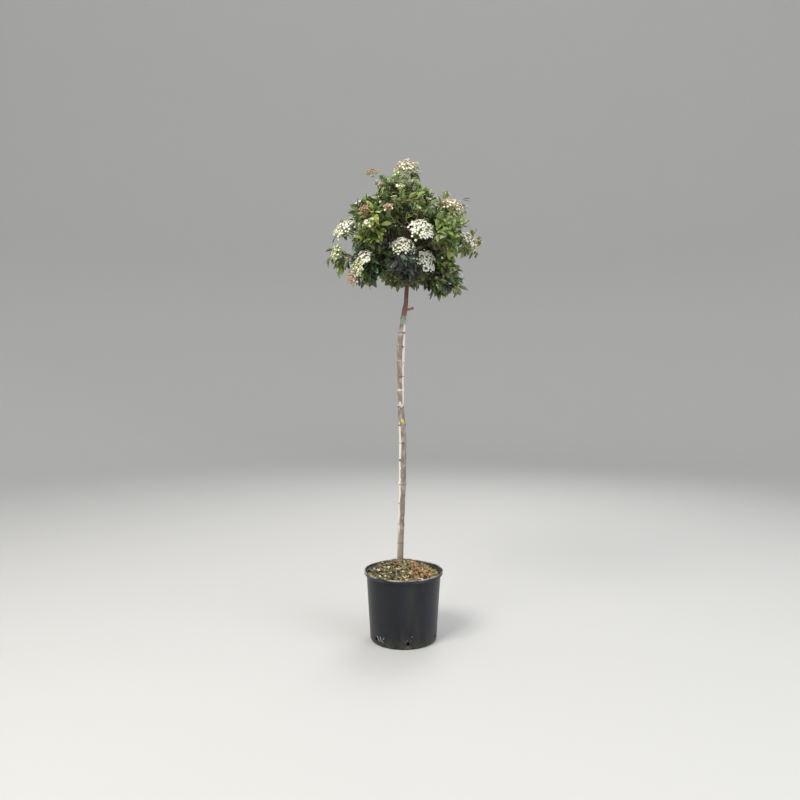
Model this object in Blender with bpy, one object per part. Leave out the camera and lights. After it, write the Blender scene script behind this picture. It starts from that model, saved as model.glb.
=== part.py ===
# Laurustinus grown as a standard: a ball of evergreen foliage on a clear stem, standing in a nursery pot.
# Metres, +Z up. The origin is the middle of the pot's flat underside, and the front of the plant faces -Y.

import math

import bmesh
import bpy
from mathutils import Vector, noise

# Clearance that touching solids keep, so that no two of them share volume
GAP = 0.0003
UPRIGHT = Vector((0.0, 0.0, 1.0))

# Pot: thin moulded plastic with a rolled collar, a rounded foot and drain holes round the foot
POT_HEIGHT = 0.245
RIM_DIAMETER = 0.280
BODY_TOP_DIAMETER = 0.264
FOOT_DIAMETER = 0.236
WALL = 0.0022
FLOOR_THICKNESS = 0.003
FOOT_ROUNDING = 0.009
FOOT_BEND_STEPS = 3
COLLAR_HEIGHT = 0.012
COLLAR_SKIN = 0.002
POT_SEGMENTS = 36
DRAIN_HOLES = 6
DRAIN_DIAMETER = 0.009
DRAIN_HEIGHT = 0.0225
DRAIN_START_DEG = -83.0
DRILL_REACH = 0.012
DRILL_SIDES = 10

# Compost: lower than the rim at the wall, heaped round the stem and flat where the stem stands
SOIL_BELOW_RIM = 0.017
SOIL_AT_STEM = 0.262
HEAP_RADIUS = 0.085
HEAP_CUT_OFF = 0.003
SOIL_ROUGHNESS = 0.0035
SOIL_LUMPS_PER_METRE = 42.0
SOIL_RINGS = 6

# Trunk, from the compost to its tip inside the crown: height, sideways, depth, diameter
TRUNK_STATIONS = (
    (0.262, -0.0120, 0.035, 0.0270),
    (0.275, -0.0118, 0.035, 0.0225),
    (0.420, -0.0080, 0.032, 0.0230),
    (0.562, -0.0040, 0.027, 0.0264),
    (0.735, -0.0034, 0.020, 0.0260),
    (0.820, -0.0092, 0.017, 0.0224),
    (0.960, -0.0108, 0.012, 0.0252),
    (1.043, -0.0090, 0.009, 0.0300),
    (1.095, -0.0052, 0.007, 0.0236),
    (1.139, -0.0008, 0.005, 0.0196),
    (1.172, 0.0042, 0.004, 0.0200),
    (1.200, 0.0086, 0.003, 0.0148),
    (1.268, 0.0118, 0.001, 0.0156),
    (1.362, 0.0110, 0.003, 0.0120),
)
TRUNK_SIDES = 12
RINGS_PER_STATION = 2

# Stub left where the old leader was cut away
STUB_HEIGHT = 1.168
STUB_REACH = 0.031
STUB_RISE = 0.012
STUB_DEPTH = -0.004
STUB_DIAMETERS = (0.0130, 0.0090)

# Boughs taper from the trunk to the mass they carry
BOUGH_SIDES = 8
BOUGH_RINGS = 5
BOUGH_TIP_SHARE = 0.6
BOUGH_LIFT = 0.06
BOUGH_ENTRY = 0.8

# Crown: each mass is an uneven ball with its own centre and its reach outwards, sideways and upwards.
# A mass on a bough also has the height at which the bough leaves the trunk, and its thickness.
CROWN_HEART = Vector((0.005, 0.0, 1.43))
MASS_SUBDIVISIONS = 3
UNEVENNESS = 0.16
LUMP_SIZE = 0.55
LUMP_SHIFT = 7.3
LIMB_MARGIN = 1.05
MASSES = {
    "foliage_top": ((-0.012, 0.000, 1.566), (0.080, 0.136, 0.125), (1.362, 0.0100)),
    "foliage_front": ((0.012, -0.150, 1.470), (0.085, 0.105, 0.086), (1.325, 0.0088)),
    "foliage_right": ((0.142, -0.020, 1.474), (0.072, 0.100, 0.084), (1.302, 0.0090)),
    "foliage_left": ((-0.130, -0.020, 1.488), (0.072, 0.100, 0.094), (1.302, 0.0090)),
    "foliage_back_right": ((0.105, 0.140, 1.470), (0.090, 0.105, 0.092), (1.345, 0.0082)),
    "foliage_back_left": ((-0.090, 0.145, 1.465), (0.092, 0.105, 0.094), (1.325, 0.0084)),
    "foliage_low_right": ((0.122, -0.040, 1.300), (0.090, 0.095, 0.084), (1.262, 0.0086)),
    "foliage_low_left": ((-0.122, -0.050, 1.335), (0.080, 0.090, 0.074), (1.262, 0.0084)),
    "foliage_low_front": ((0.004, -0.120, 1.335), (0.082, 0.080, 0.074), (1.282, 0.0078)),
    "foliage_low_back": ((0.010, 0.130, 1.342), (0.088, 0.105, 0.076), (1.282, 0.0082)),
    "foliage_front_right": ((0.138, -0.150, 1.415), (0.072, 0.080, 0.080), None),
    "foliage_front_left": ((-0.106, -0.150, 1.440), (0.070, 0.075, 0.078), None),
    "foliage_top_shoot": ((0.014, -0.005, 1.665), (0.050, 0.046, 0.044), None),
    "foliage_upper_left_shoot": ((-0.116, -0.008, 1.642), (0.036, 0.036, 0.036), None),
    "foliage_upper_right": ((0.172, -0.012, 1.545), (0.058, 0.064, 0.050), None),
    "foliage_right_arm": ((0.228, -0.020, 1.412), (0.056, 0.066, 0.056), None),
    "foliage_left_arm_high": ((-0.218, -0.028, 1.472), (0.056, 0.060, 0.052), None),
    "foliage_left_arm_low": ((-0.236, -0.008, 1.366), (0.050, 0.050, 0.062), None),
    "foliage_upper_front": ((-0.030, -0.125, 1.572), (0.062, 0.085, 0.052), None),
    "foliage_upper_back": ((0.035, 0.125, 1.572), (0.070, 0.090, 0.062), None),
    "foliage_back_arm": ((0.015, 0.228, 1.440), (0.058, 0.070, 0.062), None),
}

COLOURS = {
    "pot": ((0.022, 0.024, 0.028), 0.5),
    "soil": ((0.16, 0.10, 0.06), 0.95),
    "bark": ((0.30, 0.24, 0.19), 0.85),
    "leaf": ((0.07, 0.12, 0.04), 0.5),
}


def clear_scene():
    for old in list(bpy.data.objects):
        bpy.data.objects.remove(old)


def material(name):
    made = bpy.data.materials.get(name)
    if made is None:
        made = bpy.data.materials.new(name)
        made.use_nodes = True
        colour, roughness = COLOURS[name]
        shader = made.node_tree.nodes["Principled BSDF"]
        shader.inputs["Base Color"].default_value = (*colour, 1.0)
        shader.inputs["Roughness"].default_value = roughness
        shader.inputs["Metallic"].default_value = 0.0
    return made


def add_object(name, points, faces, material_name, place=(0.0, 0.0, 0.0)):
    mesh = bpy.data.meshes.new(name)
    mesh.from_pydata([tuple(point) for point in points], [], faces)
    shape = bmesh.new()
    shape.from_mesh(mesh)
    bmesh.ops.recalc_face_normals(shape, faces=shape.faces)
    shape.to_mesh(mesh)
    shape.free()
    mesh.materials.append(material(material_name))
    mesh.shade_smooth()
    made = bpy.data.objects.new(name, mesh)
    made.location = place
    bpy.context.scene.collection.objects.link(made)
    return made


def rings_to_faces(rings, sides):
    """Walls between rings of points in order, and a cap on the first and the last."""
    faces = []
    for ring in range(rings - 1):
        for side in range(sides):
            after = (side + 1) % sides
            low, high = ring * sides, (ring + 1) * sides
            faces.append((low + side, low + after, high + after, high + side))
    faces.append(tuple(reversed(range(sides))))
    faces.append(tuple((rings - 1) * sides + side for side in range(sides)))
    return faces


def turned(profile, sides):
    """A solid of revolution about Z. The profile runs from the axis to the axis."""
    points = [(0.0, 0.0, profile[0][1])]
    for radius, height in profile[1:-1]:
        for side in range(sides):
            angle = 2 * math.pi * side / sides
            points.append((radius * math.cos(angle), radius * math.sin(angle), height))
    points.append((0.0, 0.0, profile[-1][1]))
    rings = len(profile) - 2
    last = len(points) - 1
    faces = []
    for side in range(sides):
        after = (side + 1) % sides
        faces.append((0, 1 + after, 1 + side))
        faces.append((last, 1 + (rings - 1) * sides + side, 1 + (rings - 1) * sides + after))
        for ring in range(rings - 1):
            low, high = 1 + ring * sides, 1 + (ring + 1) * sides
            faces.append((low + side, low + after, high + after, high + side))
    return points, faces


def tube(path, radii, sides, cut_along=None):
    """A tapering limb with a flat cut at both ends, square to its path or to the given direction."""
    points = []
    for place, point in enumerate(path):
        before, after = path[max(place - 1, 0)], path[min(place + 1, len(path) - 1)]
        along = (after - before).normalized()
        if cut_along is not None and place in (0, len(path) - 1):
            along = cut_along
        across = along.cross(Vector((0.0, 1.0, 0.0))).normalized()
        over = along.cross(across)
        for side in range(sides):
            angle = 2 * math.pi * side / sides
            points.append(point + radii[place] * (across * math.cos(angle) + over * math.sin(angle)))
    return points, rings_to_faces(len(path), sides)


def add_cutter(name, points, faces):
    made = add_object(name, points, faces, "bark")
    made.hide_render = True
    made.display_type = "WIRE"
    return made


def cut(target, cutter):
    boolean = target.modifiers.new("cut_" + cutter.name, "BOOLEAN")
    boolean.operation = "DIFFERENCE"
    boolean.solver = "EXACT"
    boolean.object = cutter


def wall_radius(height):
    """The pot's outer radius at a height, without its collar."""
    share = height / POT_HEIGHT
    return (FOOT_DIAMETER + (BODY_TOP_DIAMETER - FOOT_DIAMETER) * share) / 2


def foot_bend(inset):
    """Quarter-round from the underside to the wall, moved inwards by the inset."""
    centre_radius = wall_radius(FOOT_ROUNDING) - FOOT_ROUNDING
    reach = FOOT_ROUNDING - inset
    bend = []
    for step in range(FOOT_BEND_STEPS + 1):
        angle = 0.5 * math.pi * step / FOOT_BEND_STEPS
        bend.append((centre_radius + reach * math.sin(angle), FOOT_ROUNDING - reach * math.cos(angle)))
    return bend


def build_pot():
    top_radius = wall_radius(POT_HEIGHT)
    rim_radius = RIM_DIAMETER / 2
    collar_foot = POT_HEIGHT - COLLAR_HEIGHT
    under_collar = POT_HEIGHT - COLLAR_SKIN
    outside = [(0.0, 0.0)] + foot_bend(0.0)
    collar = [
        (wall_radius(under_collar), under_collar),
        (rim_radius - COLLAR_SKIN, under_collar),
        (rim_radius - COLLAR_SKIN, collar_foot),
        (rim_radius, collar_foot),
        (rim_radius, under_collar),
        (rim_radius - COLLAR_SKIN, POT_HEIGHT),
        (top_radius - WALL, POT_HEIGHT),
    ]
    inside = list(reversed(foot_bend(FLOOR_THICKNESS))) + [(0.0, FLOOR_THICKNESS)]
    points, faces = turned(outside + collar + inside, POT_SEGMENTS)
    pot = add_object("pot", points, faces, "pot")
    for hole in range(DRAIN_HOLES):
        angle = math.radians(DRAIN_START_DEG + 360.0 * hole / DRAIN_HOLES)
        outwards = Vector((math.cos(angle), math.sin(angle), 0.0))
        middle = outwards * wall_radius(DRAIN_HEIGHT) + Vector((0.0, 0.0, DRAIN_HEIGHT))
        path = [middle - outwards * DRILL_REACH, middle + outwards * DRILL_REACH]
        radii = [DRAIN_DIAMETER / 2] * 2
        drill_points, drill_faces = tube(path, radii, DRILL_SIDES)
        cut(pot, add_cutter("drain_drill_%d" % hole, drill_points, drill_faces))


def soil_height(x, y):
    foot = TRUNK_STATIONS[0]
    away = math.hypot(x - foot[1], y - foot[2])
    edge_height = POT_HEIGHT - SOIL_BELOW_RIM
    heap = (SOIL_AT_STEM + HEAP_CUT_OFF - edge_height) * math.exp(-((away / HEAP_RADIUS) ** 2))
    rough = SOIL_ROUGHNESS * noise.noise(Vector((x, y, 0.0)) * SOIL_LUMPS_PER_METRE)
    return min(edge_height + heap + rough, SOIL_AT_STEM)


def inner_radius(height):
    """The pot's inner radius at a height above the foot bend."""
    share = (height - FOOT_ROUNDING) / (POT_HEIGHT - FOOT_ROUNDING)
    low = wall_radius(FOOT_ROUNDING) - FLOOR_THICKNESS
    high = wall_radius(POT_HEIGHT) - WALL
    return low + (high - low) * share


def build_soil():
    sides = POT_SEGMENTS
    edge_height = POT_HEIGHT - SOIL_BELOW_RIM - SOIL_ROUGHNESS
    edge_radius = inner_radius(edge_height) - GAP
    bend = foot_bend(FLOOR_THICKNESS + GAP)
    profile = [(0.0, bend[0][1])] + bend + [(edge_radius, edge_height)]
    for ring in range(SOIL_RINGS - 1, 0, -1):
        profile.append((edge_radius * ring / SOIL_RINGS, None))
    profile.append((0.0, None))
    heights = [(radius, height if height is not None else 0.0) for radius, height in profile]
    points, faces = turned(heights, sides)
    first_free = 1 + (len(bend) + 1) * sides
    surface = []
    for place, (x, y, z) in enumerate(points):
        surface.append((x, y, z if place < first_free else soil_height(x, y)))
    add_object("soil", surface, faces, "soil")


def between(before, start, end, after, share):
    """A smooth value between start and end, by the Catmull-Rom rule."""
    square, cube = share * share, share * share * share
    return 0.5 * (
        2 * start
        + (end - before) * share
        + (2 * before - 5 * start + 4 * end - after) * square
        + (3 * start - before - 3 * end + after) * cube
    )


def trunk_line():
    """Points and radii up the middle of the trunk, smooth through its stations."""
    stations = TRUNK_STATIONS
    path, radii = [], []
    for place in range(len(stations) - 1):
        near = [stations[min(max(place + step, 0), len(stations) - 1)] for step in (-1, 0, 1, 2)]
        for ring in range(RINGS_PER_STATION):
            share = ring / RINGS_PER_STATION
            side, depth, width = (between(*[station[k] for station in near], share) for k in (1, 2, 3))
            height = near[1][0] + (near[2][0] - near[1][0]) * share
            path.append(Vector((side, depth, height)))
            radii.append(width / 2)
    top = stations[-1]
    path.append(Vector((top[1], top[2], top[0])))
    radii.append(top[3] / 2)
    path[0].z += GAP
    return path, radii


def trunk_at(height):
    path = trunk_line()[0]
    for low, high in zip(path, path[1:]):
        if low.z <= height <= high.z:
            return low.lerp(high, (height - low.z) / (high.z - low.z))
    return path[-1].copy()


def swollen_trunk():
    """The trunk a gap wider all round, which cuts the foot of each limb to fit it."""
    path, radii = trunk_line()
    path[-1] = path[-1] + Vector((0.0, 0.0, GAP))
    return tube(path, [radius + GAP for radius in radii], TRUNK_SIDES, UPRIGHT)


def build_trunk():
    path, radii = trunk_line()
    points, faces = tube(path, radii, TRUNK_SIDES, UPRIGHT)
    add_object("trunk", points, faces, "bark")


def build_stub(cutter):
    start = trunk_at(STUB_HEIGHT)
    end = start + Vector((STUB_REACH, STUB_DEPTH, STUB_RISE))
    points, faces = tube([start, end], [width / 2 for width in STUB_DIAMETERS], BOUGH_SIDES)
    cut(add_object("pruned_stub", points, faces, "bark"), cutter)


def frame_of(centre):
    """Directions outwards, sideways and upwards at a place in the crown."""
    outwards = (centre - CROWN_HEART).normalized()
    sideways = Vector((0.0, 1.0, 0.0)) if abs(outwards.z) > 0.8 else Vector((0.0, 0.0, 1.0))
    sideways = sideways.cross(outwards).normalized()
    return outwards, sideways, outwards.cross(sideways)


def support(mass, direction):
    """How far a mass reaches along a direction, before its neighbours limit it."""
    centre, reach = Vector(mass[0]), mass[1]
    parts = [(axis.dot(direction) * size) ** 2 for axis, size in zip(frame_of(centre), reach)]
    return math.sqrt(sum(parts))


def bough_line(name):
    """The path and radii of the bough that carries a mass, and its direction."""
    mass = MASSES[name]
    leaves_at, thickness = mass[2]
    start = trunk_at(leaves_at)
    to_mass = Vector(mass[0]) - start
    direction = to_mass.normalized()
    length = to_mass.length - BOUGH_ENTRY * support(mass, direction)
    path, radii = [], []
    for ring in range(BOUGH_RINGS):
        share = ring / (BOUGH_RINGS - 1)
        lift = Vector((0.0, 0.0, BOUGH_LIFT * length * math.sin(math.pi * share)))
        path.append(start + direction * length * share + lift)
        radii.append(0.5 * thickness * (1 - (1 - BOUGH_TIP_SHARE) * share))
    return path, radii, direction


def build_bough(name, cutter):
    path, radii, direction = bough_line(name)
    points, faces = tube(path, radii, BOUGH_SIDES, direction)
    cut(add_object(name.replace("foliage", "bough"), points, faces, "bark"), cutter)


def nearest_on_segment(point, start, end):
    along = end - start
    share = max(0.0, min(1.0, (point - start).dot(along) / along.length_squared))
    return start + along * share


def limb_limits(centre, path, radii):
    """Planes that keep a mass clear of a limb: a direction, and the most reach along it."""
    limits = []
    for place in range(len(path) - 1):
        nearest = nearest_on_segment(centre, path[place], path[place + 1])
        towards = nearest - centre
        clear = towards.length - max(radii[place], radii[place + 1]) * LIMB_MARGIN - GAP
        limits.append((towards.normalized(), clear))
    return limits


def mass_limits(name):
    """Planes that keep a mass clear of its neighbours, the trunk and the boughs."""
    mass = MASSES[name]
    centre = Vector(mass[0])
    limits = limb_limits(centre, *trunk_line())
    for other_name, other in MASSES.items():
        if other_name == name:
            continue
        towards = Vector(other[0]) - centre
        direction = towards.normalized()
        own, others = support(mass, direction), support(other, direction)
        limits.append((direction, towards.length * own / (own + others) - GAP / 2))
        if other[2] is not None:
            path, radii, _ = bough_line(other_name)
            limits += limb_limits(centre, path, radii)
    if mass[2] is not None:
        path, _, direction = bough_line(name)
        limits.append((-direction, (centre - path[-1]).dot(direction) - GAP))
    return limits


def build_mass(name, place):
    mass = MASSES[name]
    centre, reach = Vector(mass[0]), mass[1]
    axes = frame_of(centre)
    limits = mass_limits(name)
    shape = bmesh.new()
    bmesh.ops.create_icosphere(shape, subdivisions=MASS_SUBDIVISIONS, radius=1.0)
    for vertex in shape.verts:
        direction = vertex.co.normalized()
        spread = sum((axis.dot(direction) / size) ** 2 for axis, size in zip(axes, reach))
        lumps = noise.noise(direction / LUMP_SIZE + Vector((LUMP_SHIFT * place, 0.0, 0.0)))
        radius = (1 + UNEVENNESS * lumps) / math.sqrt(spread)
        for normal, most in limits:
            facing = direction.dot(normal)
            if facing > 0:
                radius = min(radius, most / facing)
        vertex.co = direction * radius
    mesh = bpy.data.meshes.new(name)
    shape.to_mesh(mesh)
    shape.free()
    mesh.materials.append(material("leaf"))
    made = bpy.data.objects.new(name, mesh)
    made.location = centre
    bpy.context.scene.collection.objects.link(made)


def main():
    clear_scene()
    build_pot()
    build_soil()
    build_trunk()
    cutter = add_cutter("trunk_cutter", *swollen_trunk())
    build_stub(cutter)
    for name, mass in MASSES.items():
        if mass[2] is not None:
            build_bough(name, cutter)
    for place, name in enumerate(MASSES):
        build_mass(name, place)


main()
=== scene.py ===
import math

import bmesh
import bpy
import numpy as np
from mathutils import Matrix, Vector, noise
from mathutils.bvhtree import BVHTree


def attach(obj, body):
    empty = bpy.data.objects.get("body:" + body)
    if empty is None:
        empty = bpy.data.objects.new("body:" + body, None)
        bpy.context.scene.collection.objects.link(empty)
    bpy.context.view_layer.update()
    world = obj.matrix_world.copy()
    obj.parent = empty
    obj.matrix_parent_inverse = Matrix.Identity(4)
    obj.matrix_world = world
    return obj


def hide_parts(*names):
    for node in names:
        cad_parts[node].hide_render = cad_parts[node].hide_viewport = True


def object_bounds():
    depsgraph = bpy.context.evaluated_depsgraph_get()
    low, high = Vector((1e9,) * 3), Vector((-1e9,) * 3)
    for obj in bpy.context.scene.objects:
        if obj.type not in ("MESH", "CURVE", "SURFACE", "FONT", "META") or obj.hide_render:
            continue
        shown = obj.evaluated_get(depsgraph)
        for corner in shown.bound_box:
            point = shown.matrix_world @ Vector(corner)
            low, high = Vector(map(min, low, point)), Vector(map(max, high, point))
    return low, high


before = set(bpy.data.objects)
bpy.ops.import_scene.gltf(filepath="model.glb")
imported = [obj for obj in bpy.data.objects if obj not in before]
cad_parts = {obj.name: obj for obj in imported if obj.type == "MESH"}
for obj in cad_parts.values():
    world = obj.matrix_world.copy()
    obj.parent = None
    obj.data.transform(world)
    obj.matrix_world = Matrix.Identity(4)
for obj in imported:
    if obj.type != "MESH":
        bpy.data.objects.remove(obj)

cadBox = [list(corner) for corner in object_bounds()]
up = Vector((0.0, 0.0, 1.0))


# Camera: it stands where the photograph was taken from
photoView = {
    "distance": 2.462,      # metres in front of the stem
    "height": 0.937,
    "side": -0.0126,
    "pitchDeg": 0.9,        # looking down
    "shiftPixels": -12.8,   # the photograph's frame lies this far below the lens's middle
    "focalPixels": 690.0,
    "pictureWidth": 800.0,
    "sensor": 36.0,
}


def addCamera(view):
    lens = bpy.data.cameras.new("photoCamera")
    lens.sensor_width = view["sensor"]
    lens.lens = view["sensor"] * view["focalPixels"] / view["pictureWidth"]
    lens.shift_y = view["shiftPixels"] / view["pictureWidth"]
    made = bpy.data.objects.new("photoCamera", lens)
    made.location = (view["side"], -view["distance"], view["height"])
    made.rotation_euler = (math.radians(90.0 - view["pitchDeg"]), 0.0, 0.0)
    bpy.context.scene.collection.objects.link(made)
    bpy.context.scene.camera = made
    return made


def photoRay(pixel):
    # The way from the camera through a pixel of the photograph
    middle = photoView["pictureWidth"] / 2
    over = middle - pixel[1] + photoView["shiftPixels"]
    across = Vector((pixel[0] - middle, over, -photoView["focalPixels"]))
    return (camera.rotation_euler.to_matrix() @ across).normalized()


# Many small shapes gathered into one mesh
class Pile:
    def __init__(self):
        self.points, self.corners, self.sizes, self.looks, self.count = [], [], [], [], 0

    def add(self, points, faces, look=0):
        points = np.asarray(points, dtype=float).reshape(-1, 3)
        self.points.append(points)
        self.corners.append(np.array([corner for face in faces for corner in face]) + self.count)
        self.sizes.append(np.array([len(face) for face in faces]))
        self.looks.append(np.full(len(faces), look))
        self.count += len(points)

    def addCopies(self, shape, turns, places, looks):
        # shape is (points, faces, look of each face); turns are 3 x 3 matrices; looks has a row of looks for each copy
        points, faces, kinds = shape
        copies, size = len(places), len(points)
        if copies == 0:
            return
        spread = np.einsum("nij,pj->npi", turns, points) + np.asarray(places)[:, None, :]
        corners = np.array([corner for face in faces for corner in face])
        sizes = np.array([len(face) for face in faces])
        self.points.append(spread.reshape(-1, 3))
        starts = self.count + size * np.arange(copies)
        self.corners.append((starts[:, None] + corners[None, :]).ravel())
        self.sizes.append(np.tile(sizes, copies))
        self.looks.append(np.asarray(looks)[:, kinds].ravel())
        self.count += size * copies

    def triangles(self):
        return int(sum((sizes - 2).sum() for sizes in self.sizes))

    def make(self, name, materials, smooth=True):
        points, corners = np.concatenate(self.points), np.concatenate(self.corners)
        sizes, looks = np.concatenate(self.sizes), np.concatenate(self.looks)
        mesh = bpy.data.meshes.new(name)
        mesh.vertices.add(len(points))
        mesh.vertices.foreach_set("co", points.ravel())
        mesh.loops.add(len(corners))
        mesh.loops.foreach_set("vertex_index", corners.astype(np.int32))
        mesh.polygons.add(len(sizes))
        mesh.polygons.foreach_set("loop_start", (np.cumsum(sizes) - sizes).astype(np.int32))
        for material in materials:
            mesh.materials.append(material)
        mesh.polygons.foreach_set("material_index", looks.astype(np.int32))
        mesh.update(calc_edges=True)
        if smooth:
            mesh.shade_smooth()
        made = bpy.data.objects.new(name, mesh)
        bpy.context.scene.collection.objects.link(made)
        return made


def claim(piece, slotName, *nodes):
    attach(piece, "root")
    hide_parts(*nodes)
    print("made", piece.name, "with", len(piece.data.polygons), "faces")
    return piece


def acrossOf(direction, hint=up):
    # Two directions square to a third
    side = direction.cross(hint)
    if side.length < 1e-4:
        side = direction.cross(Vector((1.0, 0.0, 0.0)))
    side.normalize()
    return side, direction.cross(side).normalized()


def tubeAlong(path, radii, sides, closed=True):
    # A round limb along a path of Vectors: points and faces
    points, faces = [], []
    side = None
    for place, point in enumerate(path):
        along = (path[min(place + 1, len(path) - 1)] - path[max(place - 1, 0)]).normalized()
        side = acrossOf(along)[0] if side is None else (side - along * side.dot(along)).normalized()
        over = along.cross(side)
        for turn in range(sides):
            angle = math.tau * turn / sides
            points.append(point + radii[place] * (side * math.cos(angle) + over * math.sin(angle)))
    for ring in range(len(path) - 1):
        low, high = ring * sides, (ring + 1) * sides
        for turn in range(sides):
            after = (turn + 1) % sides
            faces.append((low + turn, low + after, high + after, high + turn))
    if closed:
        faces.append(tuple(reversed(range(sides))))
        faces.append(tuple((len(path) - 1) * sides + turn for turn in range(sides)))
    return points, faces


def bezier(points, steps):
    first, second, third, fourth = points
    path = []
    for step in range(steps + 1):
        t = step / steps
        s = 1.0 - t
        path.append(s * s * s * first + 3 * s * s * t * second + 3 * s * t * t * third + t * t * t * fourth)
    return path


# Shader helpers
def rgba(colour):
    return (*colour, 1.0)


def addNode(tree, kind, inputs=None, **settings):
    made = tree.nodes.new(kind)
    for name, value in settings.items():
        setattr(made, name, value)
    for name, value in (inputs or {}).items():
        if isinstance(value, bpy.types.NodeSocket):
            tree.links.new(value, made.inputs[name])
        else:
            made.inputs[name].default_value = value
    return made


def mixed(tree, share, first, second, blend="MIX"):
    mix = addNode(tree, "ShaderNodeMix", None, data_type="RGBA", blend_type=blend)
    for place, value in ((0, share), (6, first), (7, second)):
        if isinstance(value, bpy.types.NodeSocket):
            tree.links.new(value, mix.inputs[place])
        else:
            mix.inputs[place].default_value = value
    return mix.outputs[2]


def maths(tree, operation, first, second=0.0):
    return addNode(tree, "ShaderNodeMath", {0: first, 1: second}, operation=operation).outputs[0]


def ramp(tree, value, low, high, bottom=0.0, top=1.0):
    inputs = {"Value": value, "From Min": low, "From Max": high, "To Min": bottom, "To Max": top}
    return addNode(tree, "ShaderNodeMapRange", inputs, interpolation_type="SMOOTHSTEP").outputs["Result"]


def dab(tree, place, spot, reach, under, colour):
    # A round touch of colour, with its middle at one point of the surface
    gap = addNode(tree, "ShaderNodeVectorMath", {0: place, 1: spot}, operation="DISTANCE").outputs["Value"]
    return mixed(tree, ramp(tree, gap, reach, reach * 0.6), under, rgba(colour))


def stroke(tree, place, spot, slantDeg, length, width, under, colour):
    # A straight scrape on the front; spot is its middle and slantDeg its rise to the right
    axes = addNode(tree, "ShaderNodeSeparateXYZ", {0: place}).outputs
    aside, above = maths(tree, "SUBTRACT", axes["X"], spot[0]), maths(tree, "SUBTRACT", axes["Z"], spot[1])
    cos, sin = math.cos(math.radians(slantDeg)), math.sin(math.radians(slantDeg))
    along = maths(tree, "ADD", maths(tree, "MULTIPLY", aside, cos), maths(tree, "MULTIPLY", above, sin))
    across = maths(tree, "SUBTRACT", maths(tree, "MULTIPLY", above, cos), maths(tree, "MULTIPLY", aside, sin))
    share = maths(tree, "LESS_THAN", axes["Y"], 0.0)
    for value, half in ((along, 0.5 * length), (across, 0.5 * width)):
        near = ramp(tree, maths(tree, "ABSOLUTE", value), half, half * 0.6)
        share = maths(tree, "MULTIPLY", share, near)
    return mixed(tree, share, under, rgba(colour))


def newMaterial(name, colour, roughness, settings=None):
    made = bpy.data.materials.new(name)
    made.use_nodes = True
    shader = made.node_tree.nodes["Principled BSDF"]
    shader.inputs["Base Color"].default_value = rgba(colour)
    shader.inputs["Roughness"].default_value = roughness
    for socket, value in (settings or {}).items():
        shader.inputs[socket].default_value = value
    return made, made.node_tree, shader


def addBump(tree, shader, height, strength, distance):
    bump = addNode(tree, "ShaderNodeBump", {"Height": height, "Strength": strength, "Distance": distance})
    tree.links.new(bump.outputs["Normal"], shader.inputs["Normal"])


def newGroup(name, inputs, outputs):
    # inputs are name: (kind, value), outputs are name: kind
    group = bpy.data.node_groups.new(name, "ShaderNodeTree")
    for label, (kind, value) in inputs.items():
        socket = group.interface.new_socket(label, in_out="INPUT", socket_type="NodeSocket" + kind)
        socket.default_value = value
    for label, kind in outputs.items():
        group.interface.new_socket(label, in_out="OUTPUT", socket_type="NodeSocket" + kind)
    return group, addNode(group, "NodeGroupInput").outputs, addNode(group, "NodeGroupOutput").inputs


def useGroup(tree, group, inputs):
    made = addNode(tree, "ShaderNodeGroup", None, node_tree=group)
    for name, value in inputs.items():
        if isinstance(value, bpy.types.NodeSocket):
            tree.links.new(value, made.inputs[name])
        else:
            made.inputs[name].default_value = value
    return made.outputs


# Noise in the object's own space, drawn out along Z by Stretch
def stretchedNoise(group, given, detail):
    place = addNode(group, "ShaderNodeTexCoord").outputs["Object"]
    squeeze = maths(group, "DIVIDE", 1.0, given["Stretch"])
    scale = addNode(group, "ShaderNodeCombineXYZ", {"X": 1.0, "Y": 1.0, "Z": squeeze})
    spread = addNode(group, "ShaderNodeVectorMath", {0: place, 1: scale.outputs[0]}, operation="MULTIPLY")
    inputs = {"Vector": spread.outputs[0], "Scale": given["Scale"], "Detail": detail, "Roughness": 0.6}
    return addNode(group, "ShaderNodeTexNoise", inputs).outputs["Fac"]


def makeMottle():
    # Blotches of one colour on another
    group, given, out = newGroup("mottle", {
        "Ground": ("Color", (0.0, 0.0, 0.0, 1.0)), "Blotch": ("Color", (1.0, 1.0, 1.0, 1.0)),
        "Scale": ("Float", 20.0), "Stretch": ("Float", 1.0), "Cover": ("Float", 0.5), "Softness": ("Float", 0.1),
    }, {"Colour": "Color", "Mask": "Float"})
    cloud = stretchedNoise(group, given, 4.0)
    edge = maths(group, "SUBTRACT", 1.0, given["Cover"])
    low = maths(group, "SUBTRACT", edge, given["Softness"])
    high = maths(group, "ADD", edge, given["Softness"])
    mask = ramp(group, cloud, low, high)
    group.links.new(mixed(group, mask, given["Ground"], given["Blotch"]), out["Colour"])
    group.links.new(mask, out["Mask"])
    return group


def makeGrain():
    # Fine relief in two sizes, for bump
    group, given, out = newGroup("grain", {
        "Scale": ("Float", 200.0), "Stretch": ("Float", 1.0), "Coarse": ("Float", 0.5),
    }, {"Height": "Float"})
    fine = stretchedNoise(group, given, 3.0)
    place = addNode(group, "ShaderNodeTexCoord").outputs["Object"]
    wide = maths(group, "MULTIPLY", given["Scale"], 0.22)
    coarse = addNode(group, "ShaderNodeTexNoise", {"Vector": place, "Scale": wide, "Detail": 2.0}).outputs["Fac"]
    share = maths(group, "MULTIPLY", coarse, given["Coarse"])
    group.links.new(maths(group, "ADD", fine, share), out["Height"])
    return group


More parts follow.
